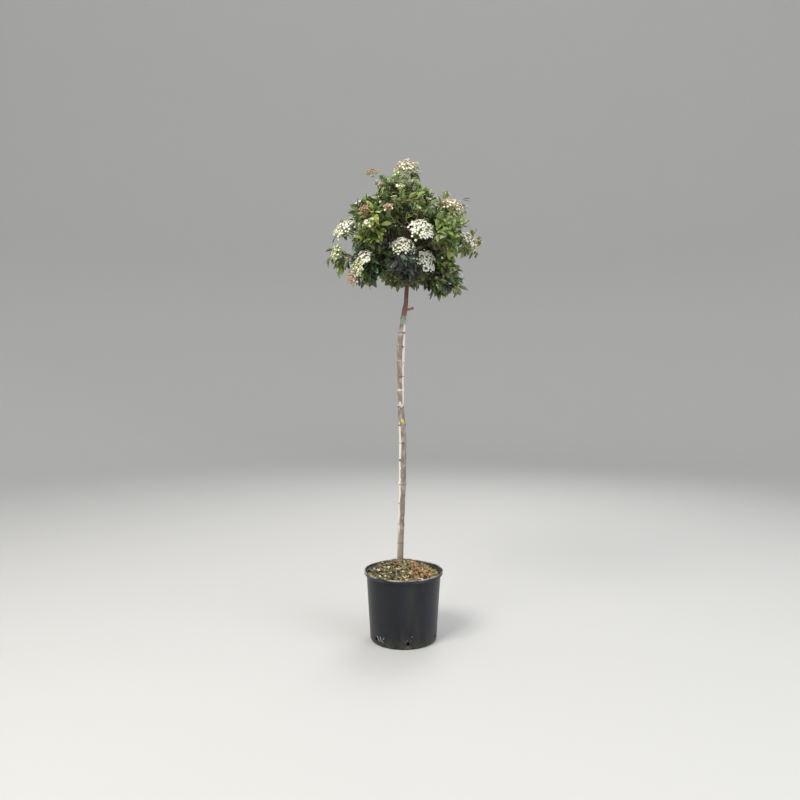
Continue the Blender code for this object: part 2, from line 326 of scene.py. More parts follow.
def makeDustAndSheen():
    # A film between two heights, broken up by noise: dust, algae and soil stain, and on the pot's rim partly painted
    # highlight
    group, given, out = newGroup("dustAndSheen", {
        "Under": ("Color", (0.0, 0.0, 0.0, 1.0)), "Dust And Sheen": ("Color", (0.3, 0.28, 0.25, 1.0)),
        "Clear Height": ("Float", 1.0), "Full Height": ("Float", 0.0), "Amount": ("Float", 0.5),
        "Scale": ("Float", 40.0), "Stretch": ("Float", 1.0),
    }, {"Colour": "Color", "Mask": "Float"})
    cloud = ramp(group, stretchedNoise(group, given, 5.0), 0.38, 0.66)
    place = addNode(group, "ShaderNodeTexCoord").outputs["Object"]
    height = addNode(group, "ShaderNodeSeparateXYZ", {0: place}).outputs["Z"]
    band = ramp(group, height, given["Clear Height"], given["Full Height"])
    mask = maths(group, "MULTIPLY", maths(group, "MULTIPLY", band, cloud), given["Amount"])
    group.links.new(mixed(group, mask, given["Under"], given["Dust And Sheen"]), out["Colour"])
    group.links.new(mask, out["Mask"])
    return group


camera = addCamera(photoView)
mottle, grain, dustAndSheen = makeMottle(), makeGrain(), makeDustAndSheen()
print("camera and shader groups ready")


# Studio: a pale floor that curves up into a wall, a big lamp high on the left, a weaker one right, one behind
studio = {
    "floorColour": (0.50, 0.495, 0.485),
    "floorRadius": 5.0, "bendRadius": 2.6, "wallTop": 8.5,
    "roomColour": (0.94, 0.97, 1.0),
    "roomStrength": 1.10,
    "aimHeight": 1.1,
    "lamps": {
        "keyLamp": {"at": (-1.9, -2.3, 3.6), "size": 1.8, "power": 175.0, "colour": (1.0, 0.97, 0.91)},
        "fillLamp": {"at": (2.8, -2.0, 2.0), "size": 2.4, "power": 62.0, "colour": (0.93, 0.96, 1.0)},
        "backLamp": {"at": (0.9, 2.8, 3.2), "size": 2.0, "power": 60.0, "colour": (1.0, 0.98, 0.95)},
    },
}


def addStudio():
    bpy.context.scene.view_settings.view_transform = "Standard"
    world = bpy.data.worlds.new("softRoom")
    world.use_nodes = True
    sky = world.node_tree.nodes["Background"]
    sky.inputs["Color"].default_value = rgba(studio["roomColour"])
    sky.inputs["Strength"].default_value = studio["roomStrength"]
    bpy.context.scene.world = world
    for name, lamp in studio["lamps"].items():
        light = bpy.data.lights.new(name, "AREA")
        light.size = lamp["size"]
        light.energy = lamp["power"]
        light.color = lamp["colour"]
        made = bpy.data.objects.new(name, light)
        made.location = lamp["at"]
        aim = Vector((0.0, 0.0, studio["aimHeight"])) - made.location
        made.rotation_euler = aim.to_track_quat("-Z", "Y").to_euler()
        bpy.context.scene.collection.objects.link(made)
    flat, bend = studio["floorRadius"], studio["bendRadius"]
    profile = [(flat * step / 8, 0.0) for step in range(1, 9)]
    profile += [(flat + bend * math.sin(math.radians(9 * step)), bend - bend * math.cos(math.radians(9 * step)))
                for step in range(1, 11)]
    profile.append((flat + bend, studio["wallTop"]))
    points, faces, segments = [(0.0, 0.0, 0.0)], [], 96
    for radius, height in profile:
        points += [(radius * math.cos(math.tau * turn / segments), radius * math.sin(math.tau * turn / segments), height)
                   for turn in range(segments)]
    faces += [(0, 1 + turn, 1 + (turn + 1) % segments) for turn in range(segments)]
    for ring in range(len(profile) - 1):
        low, high = 1 + ring * segments, 1 + (ring + 1) * segments
        faces += [(low + turn, high + turn, high + (turn + 1) % segments, low + (turn + 1) % segments)
                  for turn in range(segments)]
    material, tree, shader = newMaterial("palePlaster", studio["floorColour"], 0.85)
    addBump(tree, shader, useGroup(tree, grain, {"Scale": 90.0})["Height"], 0.1, 0.001)
    shape = Pile()
    shape.add(points, faces)
    floor = shape.make("paleFloor", [material])


addStudio()
print("studio ready")


# What the frame says about the plant
foliageNodes = sorted(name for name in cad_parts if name.startswith("foliage_"))
boughNodes = sorted(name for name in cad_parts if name.startswith("bough_"))


def randomFor(word):
    return np.random.default_rng([ord(letter) for letter in word])


def nodePoints(name):
    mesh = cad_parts[name].data
    points = np.empty(len(mesh.vertices) * 3)
    mesh.vertices.foreach_get("co", points)
    return np.unique(points.reshape(-1, 3).round(6), axis=0)


def solidOf(*names):
    points, faces = [], []
    for name in names:
        mesh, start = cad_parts[name].data, len(points)
        points += [vertex.co.copy() for vertex in mesh.vertices]
        faces += [[start + corner for corner in face.vertices] for face in mesh.polygons]
    return BVHTree.FromPolygons(points, faces)


crownSolid = solidOf(*foliageNodes)
crownHeart = Vector((0.005, 0.0, 1.43))


# Pot: a thin turned shell with a rolled lip, a rounded foot and real drain holes
potLook = {
    "segments": 144,
    "rimHeight": 0.245, "rimRadius": 0.140, "bodyTopRadius": 0.132, "footRadius": 0.118,
    "wall": 0.0022, "floor": 0.003, "collar": 0.012, "footRounding": 0.009,
    "outOfRound": 0.0007,
    "holeCount": 6, "holeRadius": 0.0052, "holeHeight": 0.0225, "firstHoleDeg": -83.0,
    "plastic": (0.0085, 0.0105, 0.0125), "violet": (0.014, 0.014, 0.024), "olive": (0.022, 0.026, 0.021),
    # the lip's pale top and the collar's violet are partly painted highlight where light catches the rim, partly wear
    # and dust
    "dust": (0.085, 0.072, 0.058), "moss": (0.060, 0.072, 0.030), "wornLipAndHighlight": (0.40, 0.36, 0.33),
    "collarVioletHighlight": (0.085, 0.070, 0.092),
    "scratch": (0.30, 0.30, 0.30),
    # middle (X, Z), slant and length of the pale scrapes
    "scrapes": (((-0.088, 0.027), -60, 0.024), ((-0.080, 0.030), -72, 0.017), ((-0.0735, 0.021), -38, 0.013),
                ((-0.0695, 0.032), 58, 0.012)),
    "scrapeWidth": 0.0017, "scrapeColour": (0.42, 0.44, 0.46),
    # middle (X, Z) and reach of the rusty specks by the front hole, and of the stain under it
    "specks": (((0.012, 0.034), 0.0030), ((0.029, 0.046), 0.0034), ((0.024, 0.033), 0.0020), ((0.005, 0.029), 0.0018),
               ((0.018, 0.041), 0.0016)),
    "speckColour": (0.150, 0.085, 0.070),
    "stains": (((0.014, 0.009), 0.0060), ((0.004, 0.007), 0.0045), ((0.024, 0.007), 0.0045)),
    "stainColour": (0.105, 0.095, 0.055),
}


def potProfile(look):
    # Radius and height, from the middle of the underside round the outside to the middle of the inner floor
    collarFoot = look["rimHeight"] - look["collar"]
    slope = (look["bodyTopRadius"] - look["footRadius"]) / collarFoot

    def wallAt(height):
        return look["footRadius"] + slope * height

    rounding, lip = look["footRounding"], 0.0016
    profile = [(0.0, 0.0022), (0.03, 0.0020), (0.075, 0.0012), (0.098, 0.0004)]
    for step in range(7):
        angle = math.radians(-90 + 15 * step)
        middle = wallAt(rounding) - rounding
        profile.append((middle + rounding * math.cos(angle), rounding * (1 + math.sin(angle))))
    rows = 46
    for row in range(1, rows + 1):
        height = rounding + (collarFoot - 0.002 - rounding) * row / rows
        profile.append((wallAt(height), height))
    outer = look["rimRadius"]
    profile += [(look["bodyTopRadius"] + 0.0008, collarFoot - 0.0008), (outer - 0.0022, collarFoot - 0.0004)]
    profile += [(outer - 0.0007, collarFoot + 0.0003), (outer - 0.0003, collarFoot + 0.0022)]
    profile += [(outer - 0.0005, collarFoot + 0.0060), (outer - 0.0001, look["rimHeight"] - lip)]
    for step in range(1, 7):
        angle = math.radians(30 * step)
        profile.append((outer - lip + lip * math.cos(angle), look["rimHeight"] - lip + lip * math.sin(angle)))
    inner = look["bodyTopRadius"] - look["wall"]
    profile += [(outer - 0.0036, look["rimHeight"] - 0.006), (inner + 0.0020, collarFoot + 0.0012)]
    for row in range(13):
        height = collarFoot - (collarFoot - look["floor"] - 0.004) * row / 12
        profile.append((wallAt(height) - look["wall"], height))
    profile += [(look["footRadius"] - 0.008, look["floor"] + 0.001), (0.05, look["floor"] + 0.001)]
    profile.append((0.0, look["floor"] + 0.001))
    return profile


def makePot(look):
    profile, segments = potProfile(look), look["segments"]
    points, faces = [], []
    for radius, height in profile[1:-1]:
        for turn in range(segments):
            angle = math.tau * turn / segments
            share = min(1.0, height / look["rimHeight"])
            bend = math.cos(2 * angle + 0.8) + 0.5 * math.cos(3 * angle + 2.0 + 4 * share)
            wide = radius + look["outOfRound"] * bend * share * (1.0 if radius > 0.1 else 0.0)
            points.append((wide * math.cos(angle), wide * math.sin(angle), height))
    rings = len(profile) - 2
    for ring in range(rings - 1):
        for turn in range(segments):
            after = (turn + 1) % segments
            low, high = ring * segments, (ring + 1) * segments
            faces.append((low + turn, low + after, high + after, high + turn))
    points += [(0.0, 0.0, profile[0][1]), (0.0, 0.0, profile[-1][1])]
    last = (rings - 1) * segments
    for turn in range(segments):
        after = (turn + 1) % segments
        faces.append((len(points) - 2, after, turn))
        faces.append((len(points) - 1, last + turn, last + after))
    pile = Pile()
    pile.add(points, faces)
    pot = pile.make("potShell", [potPlastic(look)])
    cutter = Pile()
    for hole in range(look["holeCount"]):
        angle = math.radians(look["firstHoleDeg"] + 360 / look["holeCount"] * hole)
        way = Vector((math.cos(angle), math.sin(angle), 0.0))
        start = way * (look["footRadius"] - 0.012) + up * look["holeHeight"]
        drill, ends = tubeAlong([start, start + way * 0.03], [look["holeRadius"]] * 2, 20)
        cutter.add(drill, ends)
    drills = cutter.make("drainDrills", [])
    cut = pot.modifiers.new("drainHoles", "BOOLEAN")
    cut.object = drills
    cut.solver = "EXACT"
    evaluated = pot.evaluated_get(bpy.context.evaluated_depsgraph_get())
    mesh = bpy.data.meshes.new_from_object(evaluated)
    pot.modifiers.clear()
    pot.data = mesh
    bpy.data.objects.remove(drills)
    mesh.shade_smooth()
    mesh.set_sharp_from_angle(angle=math.radians(38))
    return claim(pot, "pot", "pot")


def potPlastic(look):
    material, tree, shader = newMaterial("blackPlastic", look["plastic"], 0.4, {"Specular IOR Level": 0.32})
    bands = useGroup(tree, mottle, {
        "Ground": rgba(look["plastic"]), "Blotch": rgba(look["violet"]), "Scale": 13.0, "Stretch": 9.0,
        "Cover": 0.5, "Softness": 0.16,
    })["Colour"]
    haze = useGroup(tree, mottle, {
        "Ground": bands, "Blotch": rgba(look["olive"]), "Scale": 22.0, "Stretch": 5.0, "Cover": 0.36,
        "Softness": 0.14,
    })["Colour"]
    dust = useGroup(tree, dustAndSheen, {
        "Under": haze, "Dust And Sheen": rgba(look["dust"]), "Clear Height": 0.085, "Full Height": 0.0, "Amount": 0.38,
        "Scale": 55.0, "Stretch": 2.0,
    })
    moss = useGroup(tree, dustAndSheen, {
        "Under": dust["Colour"], "Dust And Sheen": rgba(look["moss"]), "Clear Height": 0.026, "Full Height": 0.002,
        "Amount": 0.8, "Scale": 80.0, "Stretch": 1.0,
    })
    scratches = useGroup(tree, mottle, {
        "Ground": moss["Colour"], "Blotch": rgba(look["scratch"]), "Scale": 260.0, "Stretch": 12.0,
        "Cover": 0.24, "Softness": 0.03,
    })
    # The collar band is painted a paler violet: partly painted highlight where light catches the rim, partly dust
    collar = useGroup(tree, dustAndSheen, {
        "Under": scratches["Colour"], "Dust And Sheen": rgba(look["collarVioletHighlight"]), "Clear Height": 0.2325,
        "Full Height": 0.2335, "Amount": 0.9, "Scale": 12.0, "Stretch": 1.0,
    })["Colour"]
    place = addNode(tree, "ShaderNodeTexCoord").outputs["Object"]
    for spots, colour in ((look["specks"], look["speckColour"]), (look["stains"], look["stainColour"])):
        for (x, height), reach in spots:
            wall = look["footRadius"] + 0.06 * height
            collar = dab(tree, place, Vector((x, -math.sqrt(wall ** 2 - x ** 2), height)), reach, collar, colour)
    for spot, slantDeg, length in look["scrapes"]:
        collar = stroke(tree, place, spot, slantDeg, length, look["scrapeWidth"], collar, look["scrapeColour"])
    # Painted highlight along the lip's top edge, together with wear and dust there
    lipWearAndHighlight = useGroup(tree, dustAndSheen, {
        "Under": collar, "Dust And Sheen": rgba(look["wornLipAndHighlight"]), "Clear Height": 0.2395,
        "Full Height": 0.2435, "Amount": 1.2, "Scale": 26.0, "Stretch": 1.0,
    })
    tree.links.new(lipWearAndHighlight["Colour"], shader.inputs["Base Color"])
    dull = maths(tree, "ADD", maths(tree, "MULTIPLY", dust["Mask"], 0.4), 0.36)
    tree.links.new(maths(tree, "ADD", dull, maths(tree, "MULTIPLY", lipWearAndHighlight["Mask"], 0.2)), shader.inputs["Roughness"])
    addBump(tree, shader, useGroup(tree, grain, {"Scale": 420.0, "Stretch": 2.0})["Height"], 0.25, 0.0006)
    return material


makePot(potLook)
print("pot ready")


# Compost: a heaped, crumbly surface with bark chips, wood chips, fibres and moss on it
compostLook = {
    "rings": 60, "segments": 132, "reach": 0.1288, "bottom": 0.19,
    "crumb": 0.0016, "crumbScale": 190.0, "lump": 0.0022, "lumpScale": 60.0,
    "chipCount": 1600, "chipSize": (0.0045, 0.0160), "stemClear": 0.0155,
    "woodCount": 56, "woodSize": (0.008, 0.022), "fibreCount": 300, "fibreLength": (0.012, 0.036),
    "mossTufts": 28, "mossSpikes": 100,
    "ground": (0.028, 0.024, 0.014), "groundPale": (0.095, 0.085, 0.045),
    "chips": {
        "darkBark": (0.032, 0.024, 0.015), "redBark": (0.27, 0.120, 0.048), "tanBark": (0.22, 0.165, 0.072),
        "greyBark": (0.125, 0.135, 0.062), "paleWood": (0.50, 0.47, 0.26),
    },
    # dark, red, tan, grey and pale chips on the left, in the middle and on the right
    "chipMix": ((0.44, 0.03, 0.10, 0.38, 0.05), (0.36, 0.07, 0.22, 0.26, 0.09), (0.21, 0.44, 0.27, 0.03, 0.05)),
    "moss": (0.27, 0.29, 0.085), "mossPlace": (0.108, 0.004),
}


def chipMaterial(name, colour):
    material, tree, shader = newMaterial(name, colour, 0.85)
    addBump(tree, shader, useGroup(tree, grain, {"Scale": 500.0, "Coarse": 0.8})["Height"], 0.6, 0.0008)
    return material


def chipShapes(dice, count, flat):
    # Uneven slabs; each is (points, faces, kinds)
    shapes = []
    faces = [(0, 2, 3, 1), (4, 5, 7, 6), (0, 1, 5, 4), (2, 6, 7, 3), (0, 4, 6, 2), (1, 3, 7, 5)]
    for number in range(count):
        points = []
        for corner in range(8):
            x, y, z = (corner & 1) - 0.5, ((corner >> 1) & 1) - 0.5, (corner >> 2) - 0.5
            points.append([x * dice.uniform(0.7, 1.2), y * dice.uniform(0.35, 0.75), z * flat])
        points = np.array(points) + dice.normal(0.0, 0.06, (8, 3)) * np.array([1.0, 1.0, flat * 1.5])
        shapes.append((points, faces, [0] * 6))
    return shapes


def looseTurns(dice, count, tilt):
    # Turn matrices that lie nearly flat
    turns = []
    for _ in range(count):
        lean = Matrix.Rotation(dice.normal(0.0, tilt), 3, "X") @ Matrix.Rotation(dice.normal(0.0, tilt), 3, "Y")
        turns.append(np.array(Matrix.Rotation(dice.uniform(0, math.tau), 3, "Z") @ lean))
    return np.array(turns)


def makeCompost(look):
    soilSolid, dice = solidOf("soil"), randomFor("compost")
    stem = Vector((-0.012, 0.035, 0.0))

    def heightAt(x, y):
        inward = min(1.0, 0.124 / max(math.hypot(x, y), 1e-6))
        hit = soilSolid.ray_cast(Vector((x * inward, y * inward, 0.4)), -up)[0]
        base = hit.z if hit is not None else 0.228
        spot = Vector((x, y, 0.0))
        lump = look["lump"] * noise.noise(spot * look["lumpScale"])
        return base + lump + look["crumb"] * noise.noise(spot * look["crumbScale"])

    points, faces = [(0.0, 0.0, heightAt(0.0, 0.0))], []
    rings, segments = look["rings"], look["segments"]
    for ring in range(1, rings + 1):
        for turn in range(segments):
            angle = math.tau * (turn + 0.5 * (ring % 2)) / segments
            radius = look["reach"] * (ring / rings) ** 0.85
            x, y = radius * math.cos(angle), radius * math.sin(angle)
            points.append((x, y, heightAt(x, y) - (0.001 if ring == rings else 0.0)))
    for turn in range(segments):
        faces.append((0, 1 + turn, 1 + (turn + 1) % segments))
    for ring in range(rings - 1):
        low, high = 1 + ring * segments, 1 + (ring + 1) * segments
        for turn in range(segments):
            after = (turn + 1) % segments
            faces.append((low + turn, high + turn, high + after, low + after))
    last, bottom = 1 + (rings - 1) * segments, len(points)
    for turn in range(segments):
        x, y, _ = points[last + turn]
        points.append((x * 0.96, y * 0.96, look["bottom"]))
    for turn in range(segments):
        after = (turn + 1) % segments
        faces.append((last + turn, bottom + turn, bottom + after, last + after))
    faces.append(tuple(bottom + turn for turn in reversed(range(segments))))
    pile = Pile()
    pile.add(points, faces)
    material, tree, shader = newMaterial("compost", look["ground"], 0.92)
    colour = useGroup(tree, mottle, {
        "Ground": rgba(look["ground"]), "Blotch": rgba(look["groundPale"]), "Scale": 160.0, "Cover": 0.42,
    })["Colour"]
    tree.links.new(colour, shader.inputs["Base Color"])
    addBump(tree, shader, useGroup(tree, grain, {"Scale": 520.0, "Coarse": 1.0})["Height"], 0.8, 0.0015)
    claim(pile.make("compostHeap", [material]), "soil", "soil")

    def scatter(count, margin):
        places = []
        while len(places) < count:
            x, y = dice.uniform(-1, 1, 2) * (look["reach"] - margin)
            far = math.hypot(x, y) < look["reach"] - margin
            if far and math.hypot(x - stem.x, y - stem.y) > look["stemClear"]:
                places.append((x, y, heightAt(x, y)))
        return np.array(places)

    chips, kinds = Pile(), list(look["chips"])
    shapes = chipShapes(dice, 14, 0.30)
    places = scatter(look["chipCount"], 0.005)
    for number, shape in enumerate(shapes):
        mine = places[number::len(shapes)].copy()
        sizes = dice.uniform(*look["chipSize"], len(mine))
        mine[:, 2] += sizes * dice.uniform(0.0, 0.22, len(mine))
        turns = looseTurns(dice, len(mine), 0.42) * sizes[:, None, None]
        parts = np.clip(((mine[:, 0] + dice.normal(0.02, 0.012, len(mine))) / 0.08 + 1.5).astype(int), 0, 2)
        picks = [dice.choice(len(kinds), p=look["chipMix"][part]) for part in parts]
        chips.addCopies(shape, turns, mine, np.array(picks)[:, None])
    slivers = chipShapes(dice, 6, 0.16)
    places = scatter(look["woodCount"], 0.012)
    for number, shape in enumerate(slivers):
        mine = places[number::len(slivers)].copy()
        sizes = dice.uniform(*look["woodSize"], len(mine))
        mine[:, 2] += sizes * 0.12
        turns = looseTurns(dice, len(mine), 0.30) * sizes[:, None, None]
        turns[:, :, 1] *= 0.42
        chips.addCopies(shape, turns, mine, dice.choice([2, 3, 4], (len(mine), 1), p=[0.3, 0.2, 0.5]))
    for x, y, z in scatter(look["fibreCount"], 0.02):
        heading, length = dice.uniform(0, math.tau), dice.uniform(*look["fibreLength"])
        path = []
        for step in range(5):
            away = length * (step / 4 - 0.5)
            bend = heading + 0.9 * away / length
            px, py = x + away * math.cos(bend), y + away * math.sin(bend)
            px, py = (value * min(1.0, 0.124 / max(math.hypot(px, py), 1e-6)) for value in (px, py))
            path.append(Vector((px, py, heightAt(px, py) + 0.0008 + 0.0022 * dice.uniform(0, 1))))
        thick = dice.uniform(0.0003, 0.0008)
        chips.add(*tubeAlong(path, [thick] * 5, 4), look=int(dice.choice([1, 2, 3])))
    materials = [chipMaterial(name, look["chips"][name]) for name in kinds]
    claim(chips.make("barkChips", materials, smooth=False), "soil", "soil")

    tufts = Pile()
    spike = (np.array([[-0.5, 0, 0], [0.5, 0, 0], [0, 0.5, 0.1], [0, 0, 3.2]]),
             [(0, 1, 3), (1, 2, 3), (2, 0, 3), (0, 2, 1)], [0] * 4)
    for tuft in range(look["mossTufts"]):
        beside = tuft < look["mossTufts"] // 2
        if beside:
            middle = np.array(look["mossPlace"]) + dice.normal(0, 0.011, 2)
        else:
            heading = dice.uniform(0, math.tau)
            middle = np.array([math.cos(heading), math.sin(heading)]) * dice.uniform(0.05, 0.118)
        middle *= min(1.0, 0.118 / np.hypot(*middle))
        spots = middle + dice.normal(0, 0.0032, (look["mossSpikes"], 2))
        spots *= np.minimum(1.0, 0.127 / np.hypot(spots[:, 0], spots[:, 1]))[:, None]
        heights = np.array([heightAt(x, y) for x, y in spots]) + 0.0004
        sizes = dice.uniform(0.0007, 0.0014, len(spots)) * (2.1 if beside else 1.0)
        turns = looseTurns(dice, len(spots), 0.5) * sizes[:, None, None]
        tufts.addCopies(spike, turns, np.column_stack([spots, heights]), np.zeros((len(spots), 1), int))
    claim(tufts.make("mossTufts", [chipMaterial("moss", look["moss"])], smooth=False), "soil", "soil")


makeCompost(compostLook)
print("compost ready")


# Bark: trunk, pruned stub and boughs with rings, scars and furrows of their own
barkLook = {
    "sides": 46, "ringStep": 0.0026, "boughSides": 18, "boughStep": 0.0032,
    "furrow": 0.00042, "swell": 0.0008,
    "nodeHeights": (0.332, 0.400, 0.479, 0.547, 0.633, 0.697, 0.762, 0.826, 0.888, 0.935, 0.985, 1.043,
                    1.092, 1.142, 1.205, 1.262, 1.318),
    "nodeRise": 0.0016, "nodeReach": 0.0046, "groove": 0.0009,
    "ground": (0.205, 0.158, 0.133), "pale": (0.36, 0.305, 0.26), "dark": (0.100, 0.072, 0.058),
    "red": (0.150, 0.072, 0.052), "redFrom": 1.146, "redTo": 1.160, "stubRed": (0.34, 0.13, 0.085),
    # the pale edge colour is a painted highlight down one side of the stem, between the heights given for the left and
    # right edges
    "edgeHighlight": (0.80, 0.76, 0.69), "leftEdge": (0.30, 0.77), "rightEdge": (0.83, 1.13),
    # bands: heights where a tint begins, is full, is still full and ends
    "bands": (((1.118, 1.128, 1.142, 1.152), (0.22, 0.30, 0.24)), ((0.884, 0.886, 0.890, 0.892), (0.72, 0.68, 0.62)),
              ((0.824, 0.826, 0.836, 0.840), (0.62, 0.58, 0.50)), ((0.25, 0.26, 0.34, 0.42), (0.27, 0.235, 0.165))),
    # touches of lichen: height, turn from the front, reach
    "touches": ((0.778, 10, 0.0075, (0.60, 0.50, 0.10)), (0.771, 45, 0.0045, (0.42, 0.40, 0.12)),
                (0.842, -15, 0.0050, (0.66, 0.63, 0.52)), (0.425, 25, 0.0045, (0.34, 0.31, 0.14))),
    "paleRing": 0.888,
    "ring": (0.075, 0.052, 0.042), "ringPale": (0.50, 0.45, 0.39), "lichen": (0.30, 0.28, 0.18),
    "soilStain": (0.09, 0.07, 0.05), "cut": (0.045, 0.028, 0.022),
}


def sectionLine(name, step):
    # Middle and radius of an upright limb at every step of height
    solid, points = solidOf(name), nodePoints(name)
    low, high = points[:, 2].min() + 0.0004, points[:, 2].max() - 0.0004
    centre = Vector(points[points[:, 2] < low + 0.002].mean(axis=0))
    ways = [Vector((math.cos(math.tau * k / 20), math.sin(math.tau * k / 20), 0.0)) for k in range(20)]
    line, count = [], max(2, round((high - low) / step))
    for place in range(count + 1):
        centre.z = low + (high - low) * place / count
        radius = 0.0
        for _ in range(2):
            hits = [solid.ray_cast(centre, way, 0.06)[0] for way in ways]
            hits = [hit for hit in hits if hit is not None]
            if hits:
                centre = sum(hits, Vector((0.0, 0.0, 0.0))) / len(hits)
                radius = sum((hit - centre).length for hit in hits) / len(hits)
        line.append((centre.copy(), radius))
    return line


def ringLine(name, limb):
    # Middles and radii of a side limb's rings, from its foot on the limb to its tip. The CAD rings have 8 corners,
    # and the one at the foot is cut to the limb's surface, so they are counted from the tip.
    points = nodePoints(name)
    foot = min((middle for middle, _ in limb), key=lambda m: np.linalg.norm(points - np.array(m), axis=1).min())
    points = points[np.argsort(np.linalg.norm(points - np.array(foot), axis=1))]
    along = points[-8:].mean(axis=0) - points[:8].mean(axis=0)
    points = points[np.argsort(-(points @ along))]
    line = []
    for start in range(0, 8 * max(2, min(4, len(points) // 8 - 1)), 8):
        ring = points[start:start + 8]
        middle = ring.mean(axis=0)
        line.append((Vector(middle), float(np.linalg.norm(ring - middle, axis=1).mean())))
    inside = foot + (Vector(points[-8:].mean(axis=0)) - foot) * 0.25
    return [(inside, line[-1][1] * 1.35)] + line[::-1]


def smoothLine(line, step):
    # The same line with even, rounded steps
    middles = [middle for middle, _ in line]
    fine = []
    for place in range(len(line) - 1):
        before = middles[max(place - 1, 0)]
        after = middles[min(place + 2, len(line) - 1)]
        start, end = middles[place], middles[place + 1]
        first, second = start + (end - before) / 6, end - (after - start) / 6
        pieces = max(2, round((end - start).length / step))
        for number, point in enumerate(bezier((start, first, second, end), pieces)[:-1]):
            share = number / pieces
            fine.append((point, line[place][1] * (1 - share) + line[place + 1][1] * share))
    return fine + [line[-1]]


def barkSkin(pile, line, sides, relief):
    # A limb whose radius relief(angle, point, radius) changes from place to place
    points, faces, side = [], [], None
    for place, (middle, radius) in enumerate(line):
        along = line[min(place + 1, len(line) - 1)][0] - line[max(place - 1, 0)][0]
        along.normalize()
        side = acrossOf(along)[0] if side is None else (side - along * side.dot(along)).normalized()
        over = along.cross(side)
        for turn in range(sides):
            angle = math.tau * turn / sides
            way = side * math.cos(angle) + over * math.sin(angle)
            points.append(middle + way * (radius + relief(angle, middle, radius)))
    for ring in range(len(line) - 1):
        low, high = ring * sides, (ring + 1) * sides
        for turn in range(sides):
            after = (turn + 1) % sides
            faces.append((low + turn, low + after, high + after, high + turn))
    points += [line[0][0], line[-1][0]]
    last = (len(line) - 1) * sides
    for turn in range(sides):
        after = (turn + 1) % sides
        faces.append((len(points) - 2, after, turn))
        faces.append((len(points) - 1, last + turn, last + after))
    pile.add(points, faces)


def trunkRelief(look):
    dice = randomFor("trunk nodes")
    nodes = [(height, dice.uniform(0, math.pi), dice.uniform(0.6, 1.25)) for height in look["nodeHeights"]]

    def relief(angle, middle, radius):
        round_ = Vector((math.cos(angle), math.sin(angle), 0.0))
        height = middle.z
        rise = look["swell"] * noise.noise(round_ * 1.1 + up * height * 26)
        rise += look["furrow"] * noise.fractal(round_ * 4.6 + up * height * 34, 0.9, 2.1, 4)
        strips = abs(noise.noise(round_ * 7.5 + up * height * 9))
        rise -= look["furrow"] * 1.6 * max(0.0, 0.16 - strips) / 0.16
        for place, phase, strength in nodes:
            off = height - place - 0.0014 * math.sin(angle * 2 + phase)
            if abs(off) < 0.02:
                scars = max(0.0, math.cos(2 * (angle - phase)))
                bulge = math.exp(-(off / look["nodeReach"]) ** 2) * (0.4 + 1.1 * scars)
                line = math.exp(-((off + 0.001) / 0.0009) ** 2)
                rise += strength * (look["nodeRise"] * bulge - look["groove"] * line)
        return rise * min(1.0, radius / 0.009)

    return relief


def boughRelief(angle, middle, radius):
    round_ = Vector((math.cos(angle), math.sin(angle), 0.0))
    place = middle * 60
    return radius * (0.09 * noise.noise(round_ * 1.2 + place) + 0.05 * noise.noise(round_ * 4 + place * 3))


def barkMaterial(look, line):
    material, tree, shader = newMaterial("laurustinusBark", look["ground"], 0.8)
    patches = useGroup(tree, mottle, {
        "Ground": rgba(look["ground"]), "Blotch": rgba(look["pale"]), "Scale": 75.0, "Stretch": 2.6,
        "Cover": 0.47, "Softness": 0.09,
    })["Colour"]
    flecks = useGroup(tree, mottle, {
        "Ground": patches, "Blotch": rgba(look["dark"]), "Scale": 210.0, "Stretch": 2.2, "Cover": 0.38,
        "Softness": 0.05,
    })["Colour"]
    lichen = useGroup(tree, mottle, {
        "Ground": flecks, "Blotch": rgba(look["lichen"]), "Scale": 46.0, "Stretch": 1.4, "Cover": 0.27,
        "Softness": 0.03,
    })["Colour"]
    place = addNode(tree, "ShaderNodeTexCoord").outputs["Object"]
    height = addNode(tree, "ShaderNodeSeparateXYZ", {0: place}).outputs["Z"]
    young = maths(tree, "MULTIPLY", ramp(tree, height, look["redFrom"], look["redTo"]), 0.85)
    facing = addNode(tree, "ShaderNodeSeparateXYZ", {0: addNode(tree, "ShaderNodeTexCoord").outputs["Normal"]})
    pale = lichen
    for sign, (low, high) in ((-1.0, look["leftEdge"]), (1.0, look["rightEdge"])):
        # Painted highlight down one side, left on the lower stem and right on the upper
        side = ramp(tree, maths(tree, "MULTIPLY", facing.outputs["X"], sign), 0.42, 0.58)
        above, below = ramp(tree, height, low - 0.02, low + 0.02), ramp(tree, height, high + 0.02, high - 0.02)
        share = maths(tree, "MULTIPLY", maths(tree, "MULTIPLY", above, below), side)
        pale = mixed(tree, maths(tree, "MULTIPLY", share, 0.88), pale, rgba(look["edgeHighlight"]))
    for band, colour in look["bands"]:
        foot, low, high, top = band
        share = maths(tree, "MULTIPLY", ramp(tree, height, foot, low), ramp(tree, height, top, high))
        pale = mixed(tree, maths(tree, "MULTIPLY", share, 0.7), pale, rgba(colour))
    for upright, turnDeg, reach, colour in look["touches"]:
        middle, radius = min(line, key=lambda ring: abs(ring[0].z - upright))
        turn = math.radians(turnDeg)
        spot = Vector((middle.x + radius * math.sin(turn), middle.y - radius * math.cos(turn), upright))
        pale = dab(tree, place, spot, reach, pale, colour)
    reddened = mixed(tree, young, pale, rgba(look["red"]))
    stained = useGroup(tree, dustAndSheen, {
        "Under": reddened, "Dust And Sheen": rgba(look["soilStain"]), "Clear Height": 0.30, "Full Height": 0.262,
        "Amount": 0.9, "Scale": 120.0, "Stretch": 1.0,
    })["Colour"]
    tree.links.new(stained, shader.inputs["Base Color"])
    height = useGroup(tree, grain, {"Scale": 460.0, "Stretch": 3.0, "Coarse": 0.9})["Height"]
    addBump(tree, shader, height, 0.65, 0.0011)
    return material


